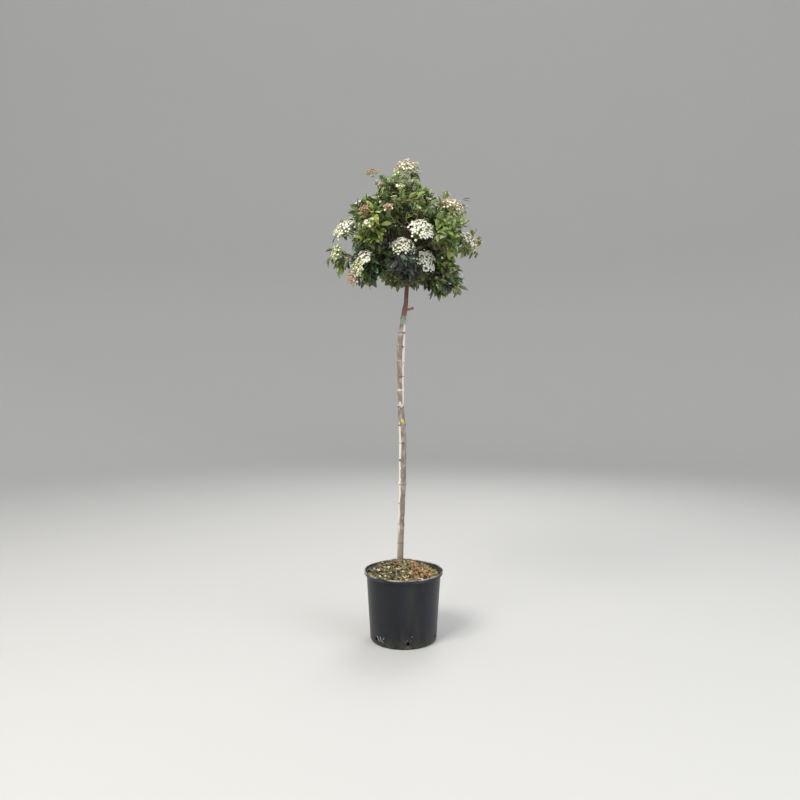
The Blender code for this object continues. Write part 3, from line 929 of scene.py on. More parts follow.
def markRings(pile, line, look):
    # The scarred ring at each node takes the darker bark
    dice, sides, looks = randomFor("ring marks"), look["sides"], pile.looks[-1]
    for height in look["nodeHeights"]:
        if height == look["paleRing"]:
            continue
        near = min(range(len(line) - 1), key=lambda place: abs(line[place][0].z - height))
        wide, phase = dice.uniform(0.4, 1.0), dice.uniform(0, math.tau)
        for turn in range(sides):
            angle = math.tau * turn / sides
            thick = wide * (2.4 + math.cos(2 * angle + phase) + 0.7 * math.cos(5 * angle + phase))
            for step in range(-1, 2):
                if thick > 1.0 + 1.1 * abs(step):
                    looks[(near + step) * sides + turn] = 1


def makeBark(look):
    trunk, boughs, stub = Pile(), Pile(), Pile()
    line = sectionLine("trunk", look["ringStep"])
    material = barkMaterial(look, line)
    barkSkin(trunk, line, look["sides"], trunkRelief(look))
    ringBark, ringTree, ringShader = newMaterial("nodeRingBark", look["ring"], 0.85)
    colour = useGroup(ringTree, mottle, {
        "Ground": rgba(look["ring"]), "Blotch": rgba(look["ringPale"]), "Scale": 260.0, "Cover": 0.44,
    })["Colour"]
    ringTree.links.new(colour, ringShader.inputs["Base Color"])
    addBump(ringTree, ringShader, useGroup(ringTree, grain, {"Scale": 600.0, "Coarse": 0.9})["Height"], 0.8, 0.0012)
    markRings(trunk, line, look)
    claim(trunk.make("trunkBark", [material, ringBark]), "bark", "trunk")
    lines = {}
    for name in boughNodes:
        lines[name] = smoothLine(ringLine(name, line), look["boughStep"])
        barkSkin(boughs, lines[name], look["boughSides"], boughRelief)
    claim(boughs.make("boughBark", [material]), "bark", *boughNodes)
    rings = smoothLine(ringLine("pruned_stub", line), 0.0022)
    barkSkin(stub, rings, 24, boughRelief)
    tip, radius = rings[-1]
    along = (tip - rings[-3][0]).normalized()
    cap = [(tip - along * 0.0012, radius * 1.03), (tip + along * 0.0006, radius * 1.0), (tip + along * 0.0009, radius * 0.6)]
    first = len(stub.sizes)
    barkSkin(stub, cap, 24, boughRelief)
    stub.looks[first:] = [np.ones_like(looks) for looks in stub.looks[first:]]
    cut = newMaterial("darkCutWood", look["cut"], 0.75)
    addBump(cut[1], cut[2], useGroup(cut[1], grain, {"Scale": 600.0})["Height"], 0.7, 0.0008)
    red, redTree, redShader = newMaterial("stubBark", look["stubRed"], 0.7)
    colour = useGroup(redTree, mottle, {
        "Ground": rgba(look["stubRed"]), "Blotch": rgba(look["red"]), "Scale": 230.0, "Cover": 0.45,
    })["Colour"]
    redTree.links.new(colour, redShader.inputs["Base Color"])
    addBump(redTree, redShader, useGroup(redTree, grain, {"Scale": 560.0, "Coarse": 0.9})["Height"], 0.7, 0.001)
    claim(stub.make("stubBark", [red, cut[0]]), "bark", "pruned_stub")
    return line, lines


trunkLine, boughLines = makeBark(barkLook)
print("bark ready")


# Flower heads: each is set by the middle of it in the photograph and its width there, in pixels
headKinds = {
    # share of open flowers, petal colours, bud colours
    "white": {"open": 0.90, "petals": ("white", "white", "cream"), "buds": ("budGreen", "budPale")},
    "cream": {"open": 0.66, "petals": ("cream", "white", "cream"), "buds": ("budPink", "budTan")},
    "fading": {"open": 0.42, "petals": ("cream", "blush"), "buds": ("budTan", "budPink", "budBrown")},
    "greenish": {"open": 0.60, "petals": ("cream", "greenWhite"), "buds": ("budGreen", "budPale")},
    "buds": {"open": 0.0, "petals": ("blush",), "buds": ("budPink", "budBrown", "budTan")},
    "brown": {"open": 0.0, "petals": ("blush",), "buds": ("budBrown", "budPink", "budTan"), "stalk": "stalkPale"},
    "amber": {"open": 0.30, "petals": ("cream", "amber"), "buds": ("budAmber", "budTan", "budAmber")},
    "young": {"open": 0.0, "petals": ("greenWhite",), "buds": ("budPale", "budGreen", "budPale")},
}
headPlan = {
    "topDome": {"pixel": (407, 161), "width": 28, "kind": "cream", "face": (0.0, -0.30, 1.0), "bare": 0.055,
                "dome": 0.85, "alone": 1.35},
    "leftBuds": {"pixel": (372, 170), "width": 16, "kind": "brown", "face": (-0.15, -0.2, 1.0), "bare": 0.085,
                 "alone": 1.35},
    "upperRight": {"pixel": (456, 202), "width": 27, "kind": "cream", "face": (0.45, -0.35, 0.85), "dome": 0.6,
                   "alone": 1.5},
    "rightEdge": {"pixel": (474, 240), "width": 27, "kind": "cream", "face": (0.85, -0.35, 0.50), "dome": 0.6,
                  "alone": 1.5},
    "leftUpper": {"pixel": (341, 226), "width": 28, "kind": "white", "face": (-0.6, -0.50, 0.7), "dome": 0.5,
                  "alone": 1.5},
    "leftEdge": {"pixel": (334, 251), "width": 20, "kind": "greenish", "face": (-0.85, -0.45, 0.35), "alone": 1.5},
    "lowLeftTop": {"pixel": (364, 256), "width": 19, "kind": "white", "face": (-0.35, -0.85, 0.35)},
    "lowLeftMiddle": {"pixel": (356, 267), "width": 18, "kind": "greenish", "face": (-0.5, -0.8, 0.15)},
    "lowLeftFoot": {"pixel": (351, 277), "width": 19, "kind": "amber", "face": (-0.6, -0.7, -0.05)},
    "frontHigh": {"pixel": (423, 227), "width": 28, "kind": "white", "face": (0.25, -0.85, 0.5)},
    "frontArch": {"pixel": (402, 240), "width": 29, "kind": "white", "face": (-0.05, -0.6, 0.8),
                  "dome": 0.75},
    "frontLow": {"pixel": (429, 260), "width": 26, "kind": "white", "face": (0.62, -0.75, 0.2)},
    "upperLeftBuds": {"pixel": (364, 208), "width": 15, "kind": "buds", "face": (-0.4, -0.6, 0.7)},
    "middleBuds": {"pixel": (388, 206), "width": 13, "kind": "fading", "face": (-0.1, -0.7, 0.7)},
    "leftSide": {"pixel": (368, 221), "width": 16, "kind": "greenish", "face": (-0.45, -0.6, 0.65)},
    "youngRing": {"pixel": (400, 185), "width": 11, "kind": "greenish", "face": (0.0, -0.6, 0.8)},
}
spreadHeads = [     # spread by the seed: full heads round the back and sides, young ones all over the top
    {"count": 13, "apart": 0.105, "width": (0.052, 0.088), "turn": (-0.35, 3.5), "lift": (-0.25, 1.25),
     "kinds": ("cream", "white", "white", "fading", "greenish")},
    {"count": 34, "apart": 0.044, "width": (0.016, 0.030), "turn": (0.0, 6.28), "lift": (0.0, 1.45),
     "kinds": ("young", "young", "young", "greenish")},
]
flowerLook = {
    "flowerWidth": 0.0088, "spacing": 0.0074, "domeFall": 0.36, "lobeRise": 0.13,
    "budWidth": 0.0041, "pedicel": 0.00055, "ray": 0.0014, "peduncle": 0.0017,
    "colours": {
        "white": (0.90, 0.90, 0.84), "cream": (0.84, 0.80, 0.64), "greenWhite": (0.66, 0.71, 0.46),
        "blush": (0.62, 0.43, 0.34), "underPetal": (0.62, 0.52, 0.43), "eye": (0.56, 0.50, 0.20),
        "budGreen": (0.32, 0.38, 0.15), "budPale": (0.66, 0.64, 0.42), "budPink": (0.46, 0.24, 0.18),
        "budTan": (0.48, 0.34, 0.19), "budBrown": (0.20, 0.105, 0.065),
        "amber": (0.66, 0.46, 0.24), "budAmber": (0.50, 0.27, 0.095),
        "stalkGreen": (0.40, 0.49, 0.16), "stalkRed": (0.24, 0.13, 0.07), "stalkPale": (0.44, 0.42, 0.25),
    },
}


def placeHeads():
    heads = []
    for name, plan in headPlan.items():
        ray = photoRay(plan["pixel"])
        hit, _, _, away = crownSolid.ray_cast(camera.location, ray)
        if hit is None:
            # Beside the outline: where the ray passes nearest to the crown
            steps = [camera.location + ray * (2.0 + 0.01 * step) for step in range(110)]
            hit = min(steps, key=lambda point: crownSolid.find_nearest(point)[3])
            away = (hit - camera.location).length
        face = Vector(plan["face"]).normalized()
        width = plan["width"] * away / photoView["focalPixels"]
        heads.append({"name": name, "place": hit - ray * 0.004, "face": face, "width": width,
                      "kind": plan["kind"], "seen": True, "bare": plan.get("bare", 0.022),
                      "dome": plan.get("dome", flowerLook["domeFall"]), "alone": plan.get("alone", 0.92)})
    dice = randomFor("unseen heads")
    for spread in spreadHeads:
        made, tries = 0, 0
        while made < spread["count"] and tries < 5000:
            tries += 1
            turn, lift = dice.uniform(*spread["turn"]), dice.uniform(*spread["lift"])
            way = Vector((math.cos(turn) * math.cos(lift), math.sin(turn) * math.cos(lift), math.sin(lift)))
            hit, normal, _, _ = crownSolid.ray_cast(crownHeart + way * 0.6, -way)
            if hit is None or min((hit - head["place"]).length for head in heads) < spread["apart"]:
                continue
            face = (normal * 0.5 + way * 0.6 + up * 0.45).normalized()
            kind = spread["kinds"][dice.integers(len(spread["kinds"]))]
            heads.append({"name": "spread", "place": hit - way * 0.008, "face": face, "seen": False,
                          "width": dice.uniform(*spread["width"]), "kind": kind, "bare": 0.014,
                          "dome": dice.uniform(0.30, 0.65), "alone": 0.92})
            made += 1
    return heads


heads = placeHeads()


# Branching: shoots spread under the crown's surface, and each joins the nearest suitable wood
growth = {
    "tipSpacing": 0.0262, "tipInset": (0.012, 0.034), "innerSpacing": 0.050, "innerInset": (0.060, 0.095),
    "bareMasses": ("foliage_upper_left_shoot",),        # only a flower stalk there
    "thinMasses": {"foliage_left_arm_low": 1.7, "foliage_left_arm_high": 1.3, "foliage_right_arm": 1.2,
                   "foliage_top_shoot": 1.25},
    # where sky shows close to the crown: pixel and reach in pixels
    "skyPlaces": (((334, 208), 12), ((326, 223), 5), ((388, 167), 7), ((427, 171), 6), ((461, 187), 11),
                  ((476, 208), 6), ((484, 230), 6), ((485, 250), 5), ((467, 268), 5)),
    "woodStep": 0.0125, "turnCost": 0.6, "tipRadius": 0.00085, "pipePower": 2.15, "thickest": 0.0046,
    "barkFrom": 0.00150,
}


def inSky(spot):
    # Whether a place lies where the photo shows sky beside the crown
    offset = spot - camera.location
    for ray, wide in skyRays:
        ahead = offset.dot(ray)
        if (offset - ray * ahead).length < ahead * wide:
            return True
    return False


def overHead(head, spot):
    # Whether something at this place hides a flower head, or its bare stalk, from where it is seen
    radius, stalked = 0.5 * head["width"], head["bare"] > 0.03
    views = [(head["face"], radius * head["alone"], 0.35 * radius)]
    if stalked:
        views.append((head["face"], 0.020, head["bare"]))
    if head["seen"]:
        views.append(((camera.location - head["place"]).normalized(), radius * 0.92, 0.35 * radius))
    offset = spot - head["place"]
    for view, wide, deep in views:
        ahead = offset.dot(view)
        if -deep < ahead < 0.14 and (offset - view * ahead).length < wide:
            return True
    for down in (0.25, 0.5, 0.75, 1.0) if stalked and head["seen"] else ():
        lower = offset + head["face"] * head["bare"] * down
        ahead = lower.dot(view)
        if -0.006 < ahead < 0.14 and (lower - view * ahead).length < 0.009 + 0.75 * radius * (1 - down):
            return True
    return False


skyRays = [(photoRay(pixel), reach / photoView["focalPixels"]) for pixel, reach in growth["skyPlaces"]]


def crownTargets(spacing, inset, word):
    # Points under the outer skin of the masses, each with the way it faces
    dice, targets, kept = randomFor(word), [], np.zeros((0, 3))
    solids = {name: solidOf(name) for name in foliageNodes}
    for name in foliageNodes:
        if name in growth["bareMasses"]:
            continue
        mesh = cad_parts[name].data
        faces = [(np.array([mesh.vertices[corner].co for corner in face.vertices]), np.array(face.normal), face.area)
                 for face in mesh.polygons]
        areas = np.array([area for _, _, area in faces])
        apart = spacing * growth["thinMasses"].get(name, 1.0)
        count = int(areas.sum() / apart ** 2 * 14)
        for pick in dice.choice(len(faces), count, p=areas / areas.sum()):
            corners, normal, _ = faces[pick]
            weights = dice.dirichlet(np.ones(len(corners)))
            point = weights @ corners
            if inSky(Vector(point)) or any(head["alone"] > 1.0 and overHead(head, Vector(point)) for head in heads):
                continue
            if len(kept) and np.linalg.norm(kept - point, axis=1).min() < apart:
                continue
            outside = Vector(point + normal * 0.012)
            near = [other for other, solid in solids.items() if other != name
                    and within(solid, outside, 0.004)]
            if near:
                continue
            kept = np.vstack([kept, point])
            depth = dice.uniform(*inset)
            middle = Vector(point) - Vector(normal) * depth
            targets.append((middle, Vector(normal)))
    return targets


def within(solid, point, margin):
    hit, normal, _, away = solid.find_nearest(point)
    return (point - hit).dot(normal) < margin and away < 0.2


class Wood:
    def __init__(self):
        self.places, self.ways = np.zeros((60000, 3)), np.zeros((60000, 3))
        self.parents, self.count, self.runs = [], 0, []

    def addPoint(self, place, way, parent):
        self.places[self.count], self.ways[self.count] = place, way
        self.parents.append(parent)
        self.count += 1
        return self.count - 1

    def addLine(self, path, parent, kind):
        numbers = [parent] if parent >= 0 else []
        for place, point in enumerate(path):
            after = path[min(place + 1, len(path) - 1)]
            way = (after - path[max(place - 1, 0)]).normalized()
            parent = self.addPoint(point, way, parent)
            numbers.append(parent)
        self.runs.append((numbers, kind))

    def reach(self, target, facing, kind, dice):
        # Grows a bent twig from the wood that suits the target best
        offset = np.array(target) - self.places[:self.count]
        away = np.linalg.norm(offset, axis=1) + 1e-9
        turn = (self.ways[:self.count] * offset).sum(axis=1) / away
        cost = away * (1.0 + growth["turnCost"] * (1.0 - turn)) + (away < 0.022) * 0.08
        best = int(np.argmin(cost))
        start, way = Vector(self.places[best]), Vector(self.ways[best])
        length = (target - start).length
        bend = Vector(dice.normal(0.0, 0.10, 3)) * length
        second = target - facing * length * 0.30 - up * length * 0.04 + bend
        first = start + (way * 0.22 + (target - start).normalized() * 0.14) * length
        steps = max(3, round(length * 1.1 / growth["woodStep"]))
        self.addLine(bezier((start, first, second, target), steps)[1:], best, kind)


def growWood():
    wood, dice = Wood(), randomFor("branching")
    for name, line in boughLines.items():
        path = [line[0][0]] + [middle for middle, _ in line[4::4]]
        wood.addLine(path, -1, "bough")
    boughCount = wood.count
    targets = [(middle, facing, "shoot") for middle, facing in
               crownTargets(growth["tipSpacing"], growth["tipInset"], "outer shoots")]
    targets += [(middle, facing, "shoot") for middle, facing in
                crownTargets(growth["innerSpacing"], growth["innerInset"], "inner shoots")]
    for number, head in enumerate(heads):
        foot = head["place"] - head["face"] * (0.42 * head["width"] + 0.012)
        targets.append((foot, head["face"], number))
    targets.sort(key=lambda target: (target[0] - crownHeart).length)
    for middle, facing, kind in targets:
        outward = (facing + (middle - crownHeart).normalized() * 0.6 + up * 0.25).normalized()
        wood.reach(middle, outward, kind, dice)
    return wood, boughCount


wood, boughCount = growWood()
print("grown", len(wood.runs), "runs of wood with", wood.count, "points")


def woodRadii():
    # Pipe model: a limb carries the tips that it feeds
    load = np.zeros(wood.count)
    ends = {numbers[-1] for numbers, kind in wood.runs if kind != "bough"}
    for number in range(wood.count - 1, -1, -1):
        load[number] += number in ends
        if wood.parents[number] >= 0:
            load[wood.parents[number]] += load[number]
    radii = growth["tipRadius"] * np.maximum(load, 1.0) ** (1.0 / growth["pipePower"])
    return np.minimum(radii, growth["thickest"])


def makeTwigs():
    radii, pile = woodRadii(), Pile()
    for numbers, kind in wood.runs:
        if kind == "bough":
            continue
        path = [Vector(wood.places[number]) for number in numbers]
        thick = [float(radii[number]) for number in numbers]
        thick[0] = min(thick[0], thick[1] * 1.15)
        if kind == "shoot":
            thick[-1] *= 0.6
        sides = 4 if max(thick) < 0.0012 else 6 if max(thick) > 0.0026 else 5
        old = max(thick) > growth["barkFrom"]
        tender = numbers[-1] % 3 == 0
        pile.add(*tubeAlong(path, thick, sides), look=0 if old else 2 if tender else 1)
    colours = {"twigBark": (0.15, 0.10, 0.072), "twigGreen": (0.22, 0.26, 0.095), "twigRed": (0.20, 0.125, 0.070)}
    materials = []
    for name, colour in colours.items():
        material, tree, shader = newMaterial(name, colour, 0.6)
        addBump(tree, shader, useGroup(tree, grain, {"Scale": 520.0, "Stretch": 2.0})["Height"], 0.5, 0.0006)
        materials.append(material)
    claim(pile.make("twigs", materials), "bark", *foliageNodes)
    return pile.triangles()


twigTriangles = makeTwigs()
print("twigs ready with", twigTriangles, "triangles")


# Leaves: crossed pairs along the ends of the shoots, in the tone of their spray
leafLook = {
    "length": (0.025, 0.041), "width": 0.46, "pairSpacing": 0.0118, "leafyLength": 0.060,
    "variants": 18, "spread": 0.95, "droop": 0.16, "looseness": 0.22,
    "margin": 0.003,        # how far a leaf may pass the crown's box
    "weeping": (((-0.236, -0.008, 1.335), 0.075, 1.1), ((-0.14, -0.08, 1.27), 0.08, 0.5),
                ((0.13, -0.06, 1.23), 0.08, 0.4)),      # places where leaves hang, reach and how much
    "tones": {
        # upper side, under side
        "olive": ((0.135, 0.182, 0.036), (0.200, 0.240, 0.090)),
        "green": ((0.092, 0.152, 0.034), (0.160, 0.215, 0.085)),
        "deep": ((0.050, 0.090, 0.026), (0.110, 0.155, 0.065)),
        "fresh": ((0.150, 0.240, 0.045), (0.210, 0.290, 0.095)),
        "yellow": ((0.300, 0.370, 0.070), (0.320, 0.380, 0.120)),
        # the pale tone, dealt at random, is partly painted highlight standing in for glints on glossy leaves
        "pale": ((0.290, 0.350, 0.160), (0.350, 0.400, 0.200)),
        "blue": ((0.056, 0.100, 0.064), (0.130, 0.175, 0.110)),
        # painted shade for the dark lower front of the crown
        "shadedCharcoal": ((0.034, 0.038, 0.034), (0.085, 0.088, 0.078)),
        "brown": ((0.080, 0.074, 0.032), (0.140, 0.130, 0.070)),
    },
    "roughness": 0.29, "dullTones": {"shadedCharcoal": 0.52, "brown": 0.42},
    "mix": {"olive": 0.34, "green": 0.27, "deep": 0.16, "fresh": 0.10, "yellow": 0.07, "pale": 0.06},
    "zones": [
        # middle, reach, tones there
        # The charcoal zones under the front of the crown are painted shade
        ((0.0, -0.16, 1.285), 0.130, {"shadedCharcoal": 0.95, "deep": 0.05}),
        ((0.01, -0.19, 1.400), 0.095, {"shadedCharcoal": 0.82, "deep": 0.15, "green": 0.03}),
        ((-0.15, 0.0, 1.640), 0.060, {"fresh": 1.0}),
        ((-0.06, -0.20, 1.330), 0.060, {"shadedCharcoal": 0.80, "deep": 0.12, "blue": 0.08}),
        ((0.05, -0.20, 1.330), 0.050, {"shadedCharcoal": 0.80, "deep": 0.10, "brown": 0.10}),
        ((-0.08, -0.15, 1.250), 0.070, {"blue": 0.50, "shadedCharcoal": 0.40, "deep": 0.10}),
        ((0.05, -0.15, 1.245), 0.060, {"shadedCharcoal": 0.62, "brown": 0.38}),
        ((0.015, -0.04, 1.640), 0.050, {"yellow": 0.60, "fresh": 0.40}),
        ((0.11, -0.15, 1.29), 0.070, {"brown": 0.55, "deep": 0.35, "olive": 0.10}),
        ((-0.16, -0.10, 1.33), 0.085, {"blue": 0.6, "deep": 0.3, "green": 0.1}),
        ((0.10, -0.08, 1.64), 0.090, {"yellow": 0.40, "fresh": 0.40, "olive": 0.20}),
        ((0.17, -0.12, 1.50), 0.100, {"fresh": 0.60, "yellow": 0.22, "green": 0.10, "pale": 0.08}),
        # Lighter tones on the lower right are painted light, making up for the shade on that side
        ((0.18, -0.10, 1.38), 0.095, {"fresh": 0.58, "yellow": 0.12, "green": 0.10, "pale": 0.20}),
        ((-0.09, -0.18, 1.46), 0.065, {"yellow": 0.35, "olive": 0.35, "green": 0.30}),
    ],
}


def leafShape(dice):
    # A closed blade with a short stalk: points, faces, kinds (0 above, 1 below, 2 stalk)
    rows = (0.16, 0.38, 0.62, 0.84)
    widths = (0.66, 1.0, 0.88, 0.50)
    fold, curl = dice.uniform(0.10, 0.42), dice.uniform(-0.05, 0.34)
    wave, phase = dice.uniform(0.0, 0.035), dice.uniform(0.0, math.tau)
    lean, sideways = dice.uniform(0.9, 1.1), dice.normal(0.0, 0.05)
    stalk = 0.14

    def centreLine(t):
        return np.array([sideways * t * t, stalk + t, -curl * t * t])

    points, faces, kinds = [centreLine(0.0)], [], []
    for t, wide in zip(rows, widths):
        for across in (-1.0, -0.5, 0.0, 0.5, 1.0):
            half = 0.5 * leafLook["width"] * wide * (lean if across > 0 else 2 - lean)
            ripple = wave * math.sin(t * 9 + phase + across) * abs(across)
            lift = fold * abs(across) * half - 0.30 * half * max(0.0, abs(across) - 0.5)
            points.append(centreLine(t) + np.array([across * half, 0.03 * abs(across), lift + ripple]))
    points.append(centreLine(1.0) + np.array([0.0, 0.03, -0.02]))
    tip = len(points) - 1
    below = len(points)
    for row in range(4):
        points.append(points[1 + row * 5 + 2] + np.array([0.0, 0.0, -0.013]))
    for column in range(4):
        faces.append((0, 1 + column + 1, 1 + column))
        kinds.append(0)
        for row in range(3):
            low, high = 1 + row * 5 + column, 1 + (row + 1) * 5 + column
            faces.append((low, low + 1, high + 1, high))
            kinds.append(0)
        faces.append((16 + column, 17 + column, tip))
        kinds.append(0)
    for edge, first in ((0, True), (4, False)):
        under = [(0, 1 + edge, below), (16 + edge, tip, below + 3)]
        for row in range(3):
            under.append((1 + row * 5 + edge, 1 + (row + 1) * 5 + edge, below + row + 1, below + row))
        for face in under:
            faces.append(face if first else tuple(reversed(face)))
            kinds.append(1)
    start = len(points)
    for t in (0.0, 1.0):
        for turn in range(3):
            angle = math.tau * turn / 3
            radius = 0.022 if t == 0 else 0.014
            spot = np.array([radius * math.cos(angle), t * (stalk + 0.04), radius * math.sin(angle) - 0.012 * t])
            points.append(spot)
    for turn in range(3):
        after = (turn + 1) % 3
        faces.append((start + turn, start + 3 + turn, start + 3 + after, start + after))
        kinds.append(2)
    faces += [(start, start + 1, start + 2), (start + 5, start + 4, start + 3)]
    kinds += [2, 2]
    return np.array(points), faces, kinds


def dealTone(place, dice):
    tones = list(leafLook["tones"])
    shares = np.array([leafLook["mix"].get(tone, 0.0) for tone in tones])
    for middle, reach, mix in leafLook["zones"]:
        pull = math.exp(-((place - Vector(middle)).length / reach) ** 2)
        shares = shares * (1 - pull) + pull * np.array([mix.get(tone, 0.0) for tone in tones])
    return int(dice.choice(len(tones), p=shares / shares.sum()))


def placeLeaves():
    # One row of place, direction, upper normal, length and tone for each leaf
    dice, leaves = randomFor("leaves"), []
    for numbers, kind in wood.runs:
        if kind == "bough":
            continue
        path = [Vector(wood.places[number]) for number in numbers]
        tone = dealTone(path[-1], dice)
        quarter = dice.uniform(0, math.pi)
        bare = 0.0 if kind == "shoot" else heads[kind]["bare"]
        leafy = leafLook["leafyLength"] * dice.uniform(0.75, 1.2) + 0.5 * bare
        travelled, last, place = 0.0, 0.0, len(path) - 1
        while place > 0 and travelled < leafy:
            here, before = path[place], path[place - 1]
            length = (here - before).length
            along = (here - before).normalized()
            while last <= travelled + length and last < leafy:
                if last < bare and kind != "shoot":
                    last = bare
                    continue
                point = here - along * (last - travelled)
                side, over = acrossOf(along)
                quarter += math.pi / 2 + dice.normal(0, 0.12)
                size = dice.uniform(*leafLook["length"])
                young = last < 0.006 and kind == "shoot"
                for half in (0.0, math.pi):
                    across = side * math.cos(quarter + half) + over * math.sin(quarter + half)
                    spread = leafLook["spread"] * (0.45 if young else 1.0) + dice.normal(0, 0.16)
                    way = along * math.cos(spread) + across * math.sin(spread)
                    hang = leafLook["droop"] * dice.uniform(0.2, 1.8)
                    for middle, reach, pull in leafLook["weeping"]:
                        hang += pull * math.exp(-((point - Vector(middle)).length / reach) ** 2)
                    way -= up * hang
                    outward = (point - crownHeart).normalized()
                    face = along * 0.55 + up * 0.65 + outward * 0.35
                    face += Vector(dice.normal(0, leafLook["looseness"], 3))
                    own = tone if dice.uniform() < 0.82 else dealTone(point, dice)
                    long = size * dice.uniform(0.85, 1.12) * (0.62 if young else 1.0)
                    leaves.append((point, way.normalized(), face, long, own))
                last += leafLook["pairSpacing"] * dice.uniform(0.8, 1.25) * (0.6 if young else 1.0)
            travelled += length
            place -= 1
    return leaves


def keepLeaf(leaf, low, high):
    # Inside the crown's box, and not over the face of a flower head
    point, way, _, length, _ = leaf
    tip, middle = point + way * length * 1.1, point + way * length * 0.6
    if any(tip[axis] < low[axis] or tip[axis] > high[axis] for axis in range(3)):
        return False
    if inSky(tip) or inSky(middle):
        return False
    for head in heads:
        spots = (middle, tip, point) if head["bare"] > 0.03 else (middle, tip)
        if any(overHead(head, spot) for spot in spots):
            return False
    return True


def leafMaterials():
    materials = []
    for name, (top, under) in leafLook["tones"].items():
        gloss = leafLook["dullTones"].get(name, leafLook["roughness"])
        material, tree, shader = newMaterial(name + "Leaf", top, gloss, {"Specular IOR Level": 0.5})
        addBump(tree, shader, useGroup(tree, grain, {"Scale": 340.0, "Coarse": 0.8})["Height"], 0.35, 0.0005)
        dull, underTree, underShader = newMaterial(name + "LeafUnder", under, 0.62)
        addBump(underTree, underShader, useGroup(underTree, grain, {"Scale": 420.0})["Height"], 0.4, 0.0005)
        materials += [material, dull]
    stalk, tree, shader = newMaterial("leafStalk", (0.22, 0.20, 0.075), 0.55)
    addBump(tree, shader, useGroup(tree, grain, {"Scale": 500.0})["Height"], 0.3, 0.0004)
    return materials + [stalk]


def makeLeaves():
    dice = randomFor("leaf shapes")
    shapes = [leafShape(dice) for _ in range(leafLook["variants"])]
    margin = Vector((leafLook["margin"],) * 3)
    low, high = Vector(cadBox[0]) - margin, Vector(cadBox[1]) + margin
    leaves = [leaf for leaf in placeLeaves() if keepLeaf(leaf, low, high)]
    print("placed", len(leaves), "leaves")
    leaves.sort(key=lambda leaf: leaf[0].z)
    materials = leafMaterials()
    stalkLook = len(materials) - 1
    perPiece = 3300
    for number in range(math.ceil(len(leaves) / perPiece)):
        mine = leaves[number * perPiece:(number + 1) * perPiece]
        pile = Pile()
        picks = dice.integers(len(shapes), size=len(mine))
        for shapeNumber, shape in enumerate(shapes):
            some = [leaf for leaf, pick in zip(mine, picks) if pick == shapeNumber]
            turns, places, looks = [], [], []
            for point, way, face, length, tone in some:
                side = way.cross(face).normalized()
                over = side.cross(way)
                turns.append(np.array([side, way, over]).T * length)
                places.append(point)
                looks.append((tone * 2, tone * 2 + 1, stalkLook))
            pile.addCopies(shape, np.array(turns), np.array(places), np.array(looks))
        print("leaf piece", number, "has", pile.triangles(), "triangles")
        claim(pile.make("leaves" + str(number + 1), materials), "leaf", *foliageNodes)


makeLeaves()
print("leaves ready")


def flowerShape(dice):
    # Five petals round a small eye: points, faces, kinds (0 petal, 1 under side, 2 eye)
    points, faces, kinds = [], [], []
    cup = dice.uniform(-0.04, 0.10)
    for petal in range(5):
        middle = math.tau * petal / 5 + dice.normal(0, 0.05)
        for turn, reach, lift in ((-0.5, 0.22, 0.0), (-0.33, 0.42, 0.7), (-0.12, 0.52, 0.2),
                                  (0.12, 0.52, 0.2), (0.33, 0.42, 0.7)):
            angle = middle + turn * math.tau / 5
            far = reach * (1 + dice.normal(0, 0.03))
            points.append((far * math.cos(angle), far * math.sin(angle), 0.05 + cup * lift))
    eye = len(points)
    for petal in range(5):
        angle = math.tau * (petal - 0.5) / 5
        points.append((0.10 * math.cos(angle), 0.10 * math.sin(angle), 0.04))
    points += [(0.0, 0.0, 0.15), (0.0, 0.0, -0.30)]
    crownPoint, foot = eye + 5, eye + 6
    for petal in range(5):
        here, after = eye + petal, eye + (petal + 1) % 5
        for step in range(5):
            rim = petal * 5 + step
            faces.append((here if step < 3 else after, rim, (rim + 1) % 25))
            kinds.append(0)
        faces.append((here, petal * 5 + 3, after))
        kinds.append(0)
        faces.append((here, after, crownPoint))
        kinds.append(2)
    for rim in range(25):
        faces.append((foot, (rim + 1) % 25, rim))
        kinds.append(1)
    return np.array(points), faces, kinds


def budShape():
    # A small egg on its stalk
    points, faces = [(0.0, 0.0, -0.5)], []
    for height, wide in ((-0.2, 0.40), (0.25, 0.44)):
        for turn in range(5):
            angle = math.tau * turn / 5
            points.append((wide * math.cos(angle), wide * math.sin(angle), height))
    points.append((0.0, 0.0, 0.62))
    for turn in range(5):
        after = (turn + 1) % 5
        faces += [(0, 1 + after, 1 + turn), (1 + turn, 1 + after, 6 + after, 6 + turn), (6 + turn, 6 + after, 11)]
    return np.array(points), faces, [0] * len(faces)


